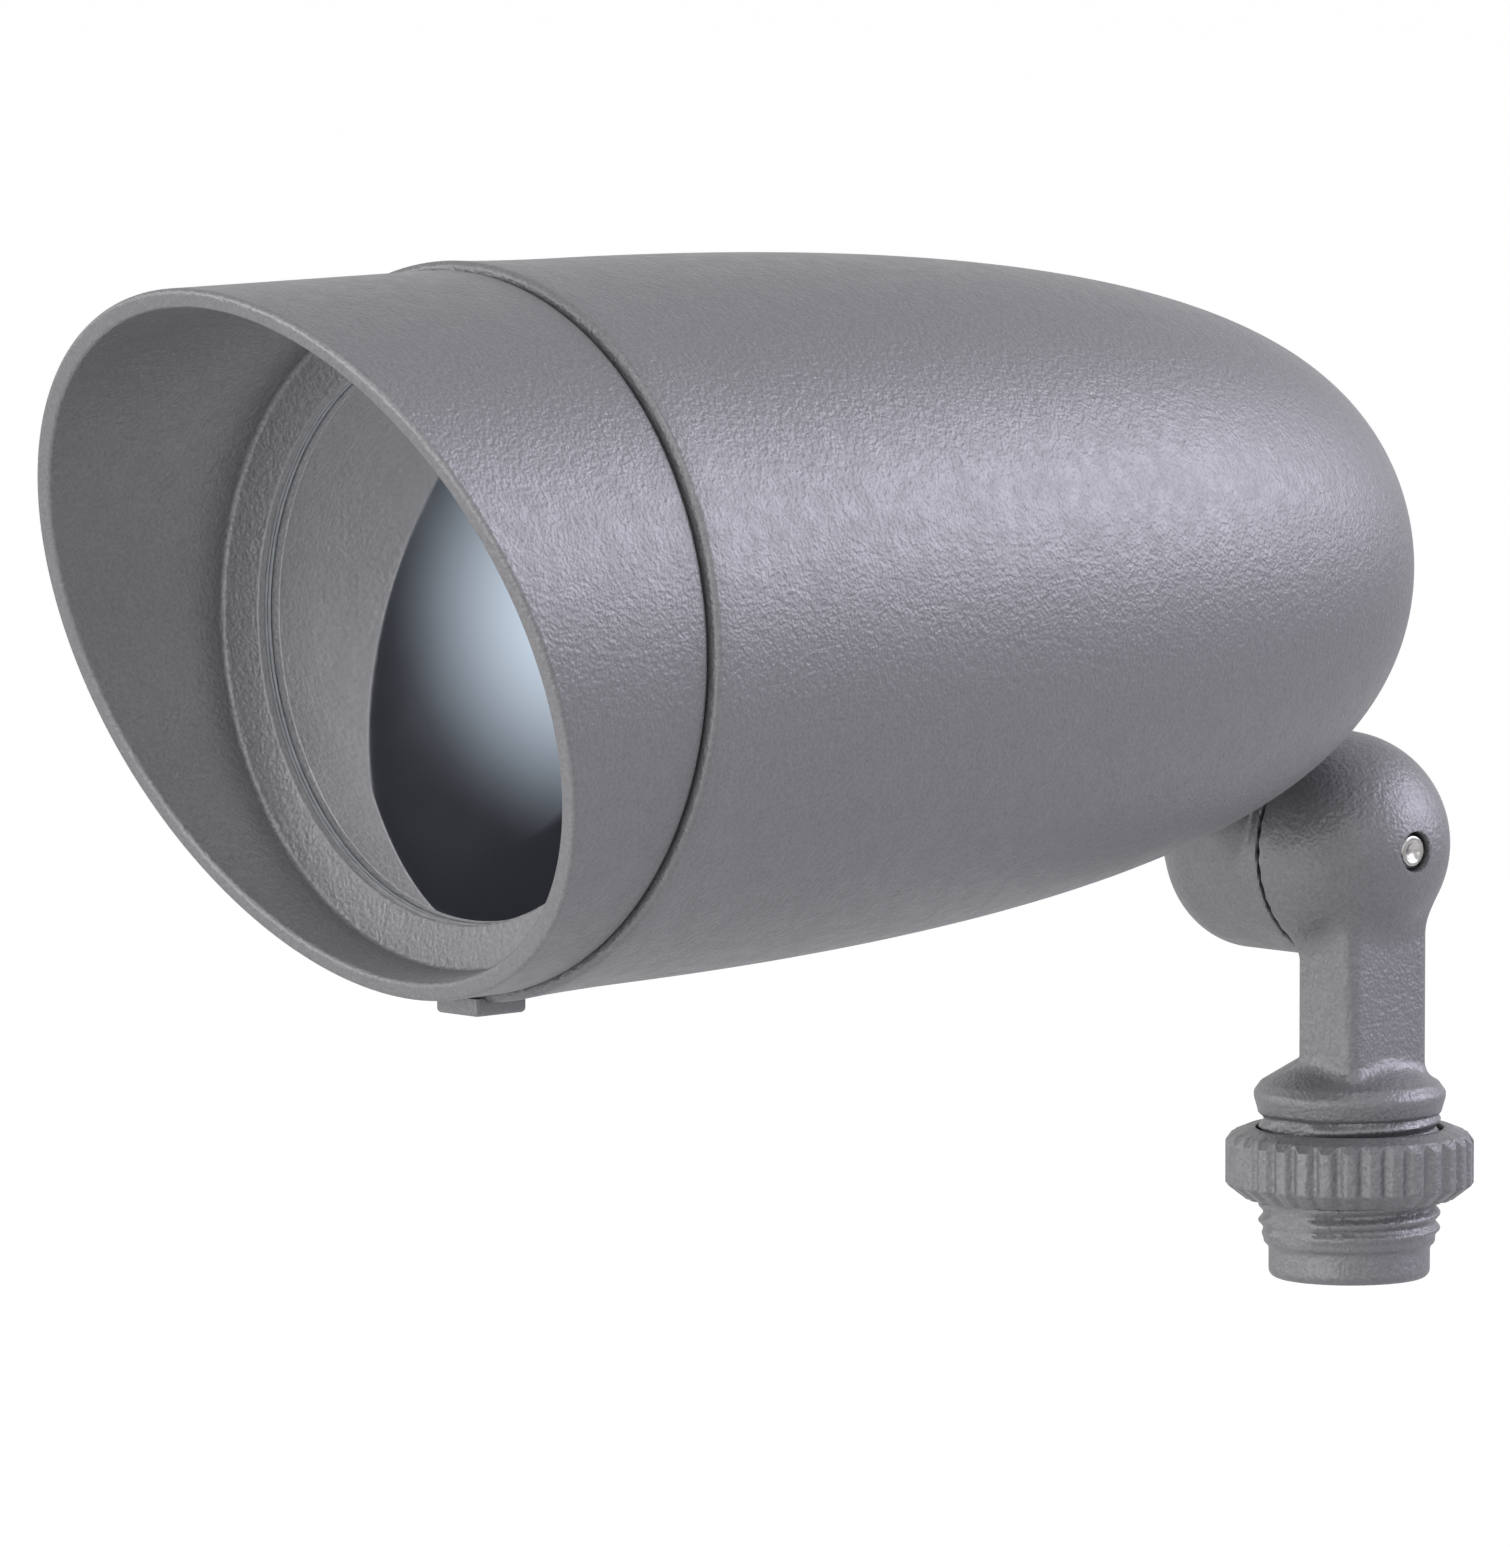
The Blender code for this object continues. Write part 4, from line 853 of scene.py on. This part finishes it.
def make_lug():
    """The screw lug under the front edge, with a nose that reaches under the hood."""
    inside = BODY_RADIUS - LUG_ROOT
    outline = [
        (LUG_NOSE, LUG_RADIUS), (LUG_BACK, LUG_RADIUS), (LUG_BACK, inside),
        (LUG_FRONT, inside), (LUG_FRONT, LUG_NOSE_RADIUS), (LUG_NOSE, LUG_NOSE_RADIUS),
    ]
    count = len(outline)
    bm = bmesh.new()
    sides = []
    for x in (-LUG_HALF_WIDTH, LUG_HALF_WIDTH):
        sides.append([bm.verts.new((x, SEAM_Y - s, AXIS_HEIGHT - r)) for s, r in outline])
        bm.faces.new(sides[-1])
    for i in range(count):
        j = (i + 1) % count
        bm.faces.new((sides[0][i], sides[0][j], sides[1][j], sides[1][i]))
    low = AXIS_HEIGHT - LUG_RADIUS + LUG_ROUNDING
    edges = [e for e in bm.edges if min(v.co.z for v in e.verts) < low]
    bmesh.ops.bevel(
        bm, geom=edges, offset=LUG_ROUNDING, segments=LUG_ROUNDING_STEPS, profile=0.5, affect="EDGES")
    bmesh.ops.triangulate(bm, faces=[f for f in bm.faces if len(f.verts) > 4])
    bm.verts.index_update()
    points = [tuple(v.co) for v in bm.verts]
    faces = [[v.index for v in f.verts] for f in bm.faces]
    bm.free()
    return add_mesh("lug", points, faces)


def passage_point(r, angle, s):
    """The point s along the wire passage, which runs from the knuckle's axis up the neck."""
    across = r * math.cos(angle)
    return (
        PASSAGE_X + r * math.sin(angle),
        s * math.cos(NECK_LEAN) - across * math.sin(NECK_LEAN),
        PIVOT_HEIGHT + s * math.sin(NECK_LEAN) + across * math.cos(NECK_LEAN))


def set_screw_point(r, angle, s):
    """The point s below the lamp's axis, at a radius and angle round the lock screw."""
    return (r * math.sin(angle), SEAM_Y - SET_SCREW_PLACE + r * math.cos(angle), AXIS_HEIGHT - s)


def housing_profile():
    """The hollow shell's section, from the inner rear pole round the mouth to the outer one."""
    inner = bullet_curve(BORE_RADIUS, BODY_LENGTH - BODY_WALL, BULLET_INNER_STEPS)
    tail = [(r, s) for r, s in inner if r < CORE_RADIUS and s < LEDGE]
    mouth = BODY_RADIUS + MOUTH_FLARE
    profile = [(0.0, BODY_WALL - BODY_LENGTH)] + tail[::-1]
    profile += [(CORE_RADIUS, LEDGE), (BORE_RADIUS, LEDGE), (BORE_RADIUS, 0.0)]
    profile.append((mouth - BODY_EDGE - BODY_EDGE_GUARD, 0.0))
    for i in range(BODY_EDGE_STEPS + 1):
        angle = 0.5 * math.pi * i / BODY_EDGE_STEPS
        profile.append((mouth - BODY_EDGE * (1 - math.sin(angle)), -BODY_EDGE * (1 - math.cos(angle))))
    for r, s in bullet_curve(BODY_RADIUS, BODY_LENGTH, BULLET_STEPS):
        if s < -BODY_EDGE - BODY_EDGE_CLEARANCE:
            profile.append((r + MOUTH_FLARE * max(0.0, 1 + s / MOUTH_LENGTH) ** 2, s))
    profile.append((0.0, -BODY_LENGTH))
    return profile


def make_housing():
    """The shell with its knuckle boss, lug and inner screw bosses, and the holes in them."""
    shell = add_mesh("housing_shell", *lathe(housing_profile(), ROUND_SEGMENTS, lamp_point))
    added = [add_mesh("boss", *skin(boss_field, *BOSS_BOX, BOSS_CELL)), make_lug()]
    screw_holes = []
    for i in range(SPREADER_SCREWS):
        place = beside_lamp_axis(SPREADER_SCREW_OFFSET, math.tau * i / SPREADER_SCREWS)
        added.append(rod(
            "screw_boss", SCREW_BOSS_RADIUS,
            LEDGE - SCREW_BOSS_STEP, LEDGE - SCREW_BOSS_LENGTH, HOLE_SEGMENTS, place))
        screw_holes.append(rod(
            "screw_hole", SPREADER_SCREW_HOLE_RADIUS,
            LEDGE + SCREW_HOLE_MARGIN, LEDGE - SPREADER_SCREW_BITE, SMALL_HOLE_SEGMENTS, place))
    combine(shell, added, "UNION")

    tools = [
        rod(
            "hollow", HOLLOW_RADIUS,
            BOSS_HOLLOW_END_X, SEAM_X + CUT_MARGIN, WIDE_HOLE_SEGMENTS, knuckle_point),
        rod(
            "bolt_hole", BOLT_HOLE_RADIUS,
            BOSS_END_X, SEAM_X, HOLE_SEGMENTS, knuckle_point),
        rod(
            "counterbore", COUNTERBORE_RADIUS,
            BOSS_END_X - CUT_MARGIN, BOLT_SEAT_X, COUNTERBORE_SEGMENTS, knuckle_point),
        rod(
            "passage", PASSAGE_RADIUS,
            HOLLOW_RADIUS / 2, NECK_LENGTH, HOLE_SEGMENTS, passage_point),
        rod(
            "set_screw_hole", SET_SCREW_RADIUS + HOLE_GAP,
            SPIGOT_RADIUS - CUT_MARGIN, LUG_RADIUS + CUT_MARGIN, SMALL_HOLE_SEGMENTS, set_screw_point),
    ]
    combine(shell, tools + screw_holes, "DIFFERENCE")
    return shell


def make_locknut():
    """The ring nut. Its section changes round the nut from rib to groove and back."""
    segments = NUT_RIBS * NUT_RIB_SEGMENTS
    sections = []
    for i in range(segments):
        angle = math.tau * i / segments
        off = abs((i / NUT_RIB_SEGMENTS + NUT_RIB_MIDDLE) % 1 - NUT_RIB_MIDDLE)
        groove = float(ramp(np.array(off), NUT_RIB_FLAT, NUT_RIB_MIDDLE))
        side = NUT_RADIUS - NUT_RIB_DEPTH * groove
        end = NUT_LOWER_FACE_RADIUS - NUT_RIB_END_DEPTH * groove
        step = NUT_RIB_CHAMFER * (NUT_RIB_STEP_SHARE - groove)
        outline = rounded([
            (NUT_BORE_RADIUS, NUT_BOTTOM, *FINE_CORNER),
            (end, NUT_BOTTOM, *NUT_END_CORNER),
            (side, NUT_BOTTOM + NUT_LOWER_CHAMFER, *NUT_SIDE_CORNER),
            (side, NUT_TOP - NUT_UPPER_CHAMFER - step, *NUT_STEP_CORNER),
            (side - step, NUT_TOP - NUT_UPPER_CHAMFER, *NUT_STEP_CORNER),
            (NUT_FACE_RADIUS, NUT_TOP, *NUT_FACE_CORNER),
            (NUT_BORE_RADIUS, NUT_TOP, *FINE_CORNER),
        ])
        sections.append([(r * math.cos(angle), r * math.sin(angle), z) for r, z in outline])
    return add_mesh("locknut_ring", *ring_mesh(sections))


def make_washer():
    outline = rounded([
        (BOLT_HOLE_RADIUS, WASHER_BACK_X, *WASHER_BORE_CORNER),
        (WASHER_RADIUS, WASHER_BACK_X, *WASHER_CORNER),
        (WASHER_RADIUS, WASHER_FRONT_X, *WASHER_CORNER),
        (BOLT_HOLE_RADIUS, WASHER_FRONT_X, *WASHER_BORE_CORNER),
    ])
    return add_mesh("washer_ring", *turned_ring(outline, WASHER_SEGMENTS, knuckle_point))


# Materials


class Finish:
    """A material whose nodes vary its colour, roughness and surface by position on the piece."""

    def __init__(self, name, colour, roughness, metallic, **sockets):
        self.material = bpy.data.materials.new(name)
        self.material.use_nodes = True
        self.tree = self.material.node_tree
        self.shader = self.tree.nodes["Principled BSDF"]
        self.shader.inputs["Base Color"].default_value = (*colour, 1.0)
        self.shader.inputs["Roughness"].default_value = roughness
        self.shader.inputs["Metallic"].default_value = metallic
        for socket, value in sockets.items():
            self.shader.inputs[socket.replace("_", " ")].default_value = value
        self.place = self.tree.nodes.new("ShaderNodeTexCoord").outputs["Object"]
        self.normal = None

    def link(self, a, b):
        self.tree.links.new(a, b)

    def noise(self, scale, detail=2.0, stretch=None):
        node = self.tree.nodes.new("ShaderNodeTexNoise")
        node.inputs["Scale"].default_value = scale
        node.inputs["Detail"].default_value = detail
        place = self.place
        if stretch:
            mapping = self.tree.nodes.new("ShaderNodeMapping")
            mapping.inputs["Scale"].default_value = stretch
            self.link(place, mapping.inputs["Vector"])
            place = mapping.outputs["Vector"]
        self.link(place, node.inputs["Vector"])
        return node.outputs["Fac"]

    def vary_colour(self, source, dark, light, start=NOISE_LOW, end=NOISE_HIGH):
        node = self.tree.nodes.new("ShaderNodeValToRGB")
        node.color_ramp.elements[0].position = start
        node.color_ramp.elements[0].color = (*dark, 1.0)
        node.color_ramp.elements[1].position = end
        node.color_ramp.elements[1].color = (*light, 1.0)
        self.link(source, node.inputs["Fac"])
        self.link(node.outputs["Color"], self.shader.inputs["Base Color"])

    def vary_roughness(self, source, low, high):
        node = self.tree.nodes.new("ShaderNodeMapRange")
        node.inputs["From Min"].default_value = NOISE_LOW
        node.inputs["From Max"].default_value = NOISE_HIGH
        node.inputs["To Min"].default_value = low
        node.inputs["To Max"].default_value = high
        self.link(source, node.inputs["Value"])
        self.link(node.outputs["Result"], self.shader.inputs["Roughness"])

    def bump(self, source, depth):
        node = self.tree.nodes.new("ShaderNodeBump")
        node.inputs["Distance"].default_value = depth
        node.inputs["Strength"].default_value = 1.0
        self.link(source, node.inputs["Height"])
        if self.normal:
            self.link(self.normal, node.inputs["Normal"])
        self.normal = node.outputs["Normal"]
        self.link(self.normal, self.shader.inputs["Normal"])


def coat_finish():
    """Grey powder coat: orange peel with a finer speckle on it."""
    finish = Finish("powder_coat", colour=(0.2, 0.2, 0.21), roughness=0.46, metallic=0.4)
    speckle = finish.noise(scale=2600.0)
    peel = finish.noise(scale=1300.0, detail=1.5)
    finish.vary_colour(
        speckle, dark=(0.175, 0.173, 0.182), light=(0.225, 0.222, 0.232), start=0.3, end=0.7)
    finish.vary_roughness(finish.noise(scale=420.0, detail=3.0), low=0.42, high=0.5)
    finish.bump(peel, depth=0.00012)
    finish.bump(speckle, depth=0.00005)
    return finish.material


def steel_finish():
    """Stainless steel with fine turning marks."""
    finish = Finish("stainless_steel", colour=(0.42, 0.41, 0.4), roughness=0.25, metallic=1.0)
    finish.vary_colour(finish.noise(scale=700.0), dark=(0.36, 0.355, 0.345), light=(0.47, 0.46, 0.45))
    finish.vary_roughness(finish.noise(scale=1500.0, detail=3.0), low=0.16, high=0.32)
    finish.bump(finish.noise(scale=2500.0, stretch=(1.0, 0.15, 0.15)), depth=0.00002)
    return finish.material


def lens_finish():
    """Glass that is clear from the front and mirrors when it is seen at an angle."""
    finish = Finish(
        "coated_glass", colour=(0.95, 0.96, 0.97), roughness=0.04, metallic=1.0,
        Transmission_Weight=1.0, IOR=1.5)
    facing = finish.tree.nodes.new("ShaderNodeLayerWeight")
    gloss = finish.tree.nodes.new("ShaderNodeMapRange")
    gloss.interpolation_type = "SMOOTHSTEP"
    gloss.inputs["From Min"].default_value = CLEAR_UP_TO
    gloss.inputs["From Max"].default_value = MIRROR_FROM
    finish.link(facing.outputs["Facing"], gloss.inputs["Value"])
    finish.link(gloss.outputs["Result"], finish.shader.inputs["Metallic"])
    finish.vary_roughness(finish.noise(scale=60.0, detail=3.0), low=0.03, high=0.06)
    return finish.material


def plain_finish(name, dark, light, roughness, scale, depth, metallic=0.0, stretch=None):
    """A finish with mottled colour, finer changes of roughness and a fine grain."""
    low, high = roughness
    finish = Finish(name, dark, low, metallic)
    finish.vary_colour(finish.noise(scale, MOTTLE_DETAIL, stretch), dark, light)
    finish.vary_roughness(finish.noise(ROUGHNESS_SCALE * scale), low, high)
    finish.bump(finish.noise(GRAIN_SCALE * scale, stretch=stretch), depth)
    return finish.material


finishes = {
    "coat": coat_finish(),
    "steel": steel_finish(),
    "lens_glass": lens_finish(),
    "rubber": plain_finish(
        "black_rubber", dark=(0.018, 0.018, 0.019), light=(0.032, 0.032, 0.033),
        roughness=(0.6, 0.8), scale=500.0, depth=0.00006),
    "plain_aluminium": plain_finish(
        "machined_aluminium", dark=(0.28, 0.285, 0.29), light=(0.37, 0.375, 0.38),
        roughness=(0.34, 0.46), scale=300.0, depth=0.00003, metallic=1.0, stretch=(0.2, 1.0, 1.0)),
    "bright_aluminium": plain_finish(
        "satin_reflector", dark=(0.38, 0.39, 0.4), light=(0.46, 0.47, 0.48),
        roughness=(0.4, 0.48), scale=120.0, depth=0.00002, metallic=1.0),
    "phosphor": plain_finish(
        "led_phosphor", dark=(0.78, 0.55, 0.07), light=(0.88, 0.66, 0.13),
        roughness=(0.4, 0.6), scale=900.0, depth=0.00004),
    "ceramic_board": plain_finish(
        "ceramic_board", dark=(0.78, 0.79, 0.78), light=(0.86, 0.87, 0.86),
        roughness=(0.3, 0.45), scale=800.0, depth=0.00002),
    "grey_silicone": plain_finish(
        "grey_silicone", dark=(0.3, 0.31, 0.33), light=(0.36, 0.37, 0.39),
        roughness=(0.6, 0.8), scale=700.0, depth=0.00004),
    "black_plastic": plain_finish(
        "black_plastic", dark=(0.022, 0.022, 0.024), light=(0.04, 0.04, 0.042),
        roughness=(0.38, 0.55), scale=600.0, depth=0.00004),
}
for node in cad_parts.values():
    slot = node.data.materials[0].name.split(".")[0]
    node.data.materials[0] = finishes[slot]

finish_piece(make_hood(), finishes["coat"], "hood", "hood")
finish_piece(make_lens(), finishes["lens_glass"], "hood", "lens")
finish_piece(make_gasket(), finishes["grey_silicone"], "hood", "lens_gasket")
finish_piece(make_housing(), finishes["coat"], "head", "housing")
finish_piece(
    add_mesh("knuckle_casting", *skin(arm_field, *ARM_BOX, ARM_CELL)),
    finishes["coat"], "arm", "knuckle_arm", ARM_SHARP_ANGLE)
finish_piece(make_locknut(), finishes["coat"], "locknut", "locknut")
finish_piece(
    add_mesh("clamp_screw", *skin(bolt_field, *BOLT_BOX, BOLT_CELL)),
    finishes["steel"], "clamp_bolt", "clamp_bolt")
finish_piece(make_washer(), finishes["steel"], "head", "bolt_washer")
finish_piece(
    add_mesh("grub_screw", *skin(set_screw_field, *SET_SCREW_BOX, BOLT_CELL)),
    finishes["steel"], "head", "hood_lock_screw")


# Camera, floor, world and lights


def direction(azimuth, elevation):
    """The way from the object to a camera or lamp. Azimuth 0 is ahead of the lens."""
    a, e = math.radians(azimuth), math.radians(elevation)
    return Vector((math.sin(a) * math.cos(e), -math.cos(a) * math.cos(e), math.sin(e)))


def add_camera():
    data = bpy.data.cameras.new("camera")
    data.sensor_width = SENSOR
    data.sensor_height = SENSOR
    data.lens = FOCAL_PIXELS * SENSOR / PHOTO_LARGER_SIDE
    camera = bpy.data.objects.new("camera", data)
    bpy.context.scene.collection.objects.link(camera)
    back = direction(VIEW_AZIMUTH, VIEW_ELEVATION)
    camera.location = VIEW_TARGET + VIEW_DISTANCE * back
    camera.rotation_euler = back.to_track_quat("Z", "Y").to_euler()
    bpy.context.scene.camera = camera


def glow_level(tree, ambient, seen, mirrored):
    """The glow for diffuse light, for what the camera sees and for what metal and glass mirror."""
    path = tree.nodes.new("ShaderNodeLightPath")
    result = None
    levels = {"Is Camera Ray": seen, "Is Transmission Ray": seen, "Is Glossy Ray": mirrored}
    for name, level in levels.items():
        share = tree.nodes.new("ShaderNodeMapRange")
        share.inputs["To Min"].default_value = ambient
        share.inputs["To Max"].default_value = level
        tree.links.new(path.outputs[name], share.inputs["Value"])
        if result is None:
            result = share.outputs["Result"]
            continue
        larger = tree.nodes.new("ShaderNodeMath")
        larger.operation = "MAXIMUM"
        tree.links.new(result, larger.inputs[0])
        tree.links.new(share.outputs["Result"], larger.inputs[1])
        result = larger.outputs[0]
    return result


def add_world():
    world = bpy.data.worlds.new("studio")
    bpy.context.scene.world = world
    world.use_nodes = True
    tree = world.node_tree
    background = tree.nodes["Background"]
    background.inputs["Color"].default_value = (1.0, 1.0, 1.0, 1.0)
    tree.links.new(
        glow_level(tree, WORLD_AMBIENT, WORLD_SEEN, WORLD_MIRRORED), background.inputs["Strength"])


def add_card(name, half, height):
    """A level square, with its half side and height in metres."""
    corners = [(-half, -half, height), (half, -half, height), (half, half, height), (-half, half, height)]
    return add_mesh(name, np.array(corners) / MM, [(0, 1, 2, 3)])


def add_floor():
    floor = add_card("floor", FLOOR_HALF, FLOOR_HEIGHT)
    material = bpy.data.materials.new("pale_floor")
    material.use_nodes = True
    tree = material.node_tree
    shader = tree.nodes["Principled BSDF"]
    shader.inputs["Base Color"].default_value = FLOOR_COLOUR
    shader.inputs["Roughness"].default_value = FLOOR_ROUGHNESS
    shader.inputs["Specular IOR Level"].default_value = 0.0
    shader.inputs["Emission Color"].default_value = (1.0, 1.0, 1.0, 1.0)
    tree.links.new(glow_level(tree, 0.0, FLOOR_SEEN, FLOOR_MIRRORED), shader.inputs["Emission Strength"])
    floor.data.materials.append(material)


def add_light(name, azimuth, elevation, distance, size, power, colour):
    """A soft box that faces the object. The camera doesn't see it."""
    data = bpy.data.lights.new(name, "AREA")
    data.shape = "RECTANGLE"
    data.size, data.size_y = size
    data.energy = power
    data.color = colour
    light = bpy.data.objects.new(name, data)
    bpy.context.scene.collection.objects.link(light)
    toward = direction(azimuth, elevation)
    light.location = VIEW_TARGET + distance * toward
    light.rotation_euler = toward.to_track_quat("Z", "Y").to_euler()
    light.visible_camera = False


def add_flag():
    """Card that only mirrors see: it gives the lens its dark, softly lit reflection."""
    middle = Vector((0.0, SEAM_Y - LENS_FRONT, AXIS_HEIGHT)) * MM
    toward = direction(VIEW_AZIMUTH, VIEW_ELEVATION)
    toward = Vector((-toward.x, toward.y, -toward.z))
    card = add_card("flag", FLAG_HALF, 0.0)
    card.location = middle + FLAG_DISTANCE * toward
    card.rotation_euler = toward.to_track_quat("Z", "Y").to_euler()
    material = bpy.data.materials.new("flag_gradient")
    material.use_nodes = True
    tree = material.node_tree
    tree.nodes.remove(tree.nodes["Principled BSDF"])
    emission = tree.nodes.new("ShaderNodeEmission")
    place_node = tree.nodes.new("ShaderNodeTexCoord")
    mapping = tree.nodes.new("ShaderNodeMapping")
    mapping.inputs["Location"].default_value = FLAG_OFFSET
    mapping.inputs["Scale"].default_value = FLAG_STRETCH
    distance = tree.nodes.new("ShaderNodeVectorMath")
    distance.operation = "LENGTH"
    ramp_node = tree.nodes.new("ShaderNodeValToRGB")
    stops = ramp_node.color_ramp
    stops.interpolation = "EASE"
    stops.elements[0].color = FLAG_GLOW
    stops.elements[1].color = FLAG_BORDER
    for place in FLAG_DARK_RANGE:
        stops.elements.new(place).color = FLAG_DARK
    reach = tree.nodes.new("ShaderNodeMapRange")
    reach.inputs["From Max"].default_value = FLAG_REACH
    tree.links.new(place_node.outputs["Object"], mapping.inputs["Vector"])
    tree.links.new(mapping.outputs["Vector"], distance.inputs[0])
    tree.links.new(distance.outputs["Value"], reach.inputs["Value"])
    tree.links.new(reach.outputs["Result"], ramp_node.inputs["Fac"])
    tree.links.new(ramp_node.outputs["Color"], emission.inputs["Color"])
    tree.links.new(emission.outputs["Emission"], tree.nodes["Material Output"].inputs["Surface"])
    card.data.materials.append(material)
    card.visible_camera = False
    card.visible_diffuse = False
    card.visible_shadow = False
    card.visible_transmission = False


add_camera()
add_world()
add_floor()
for light in LIGHTS:
    add_light(*light)
add_flag()
bpy.context.scene.view_settings.view_transform = "Standard"
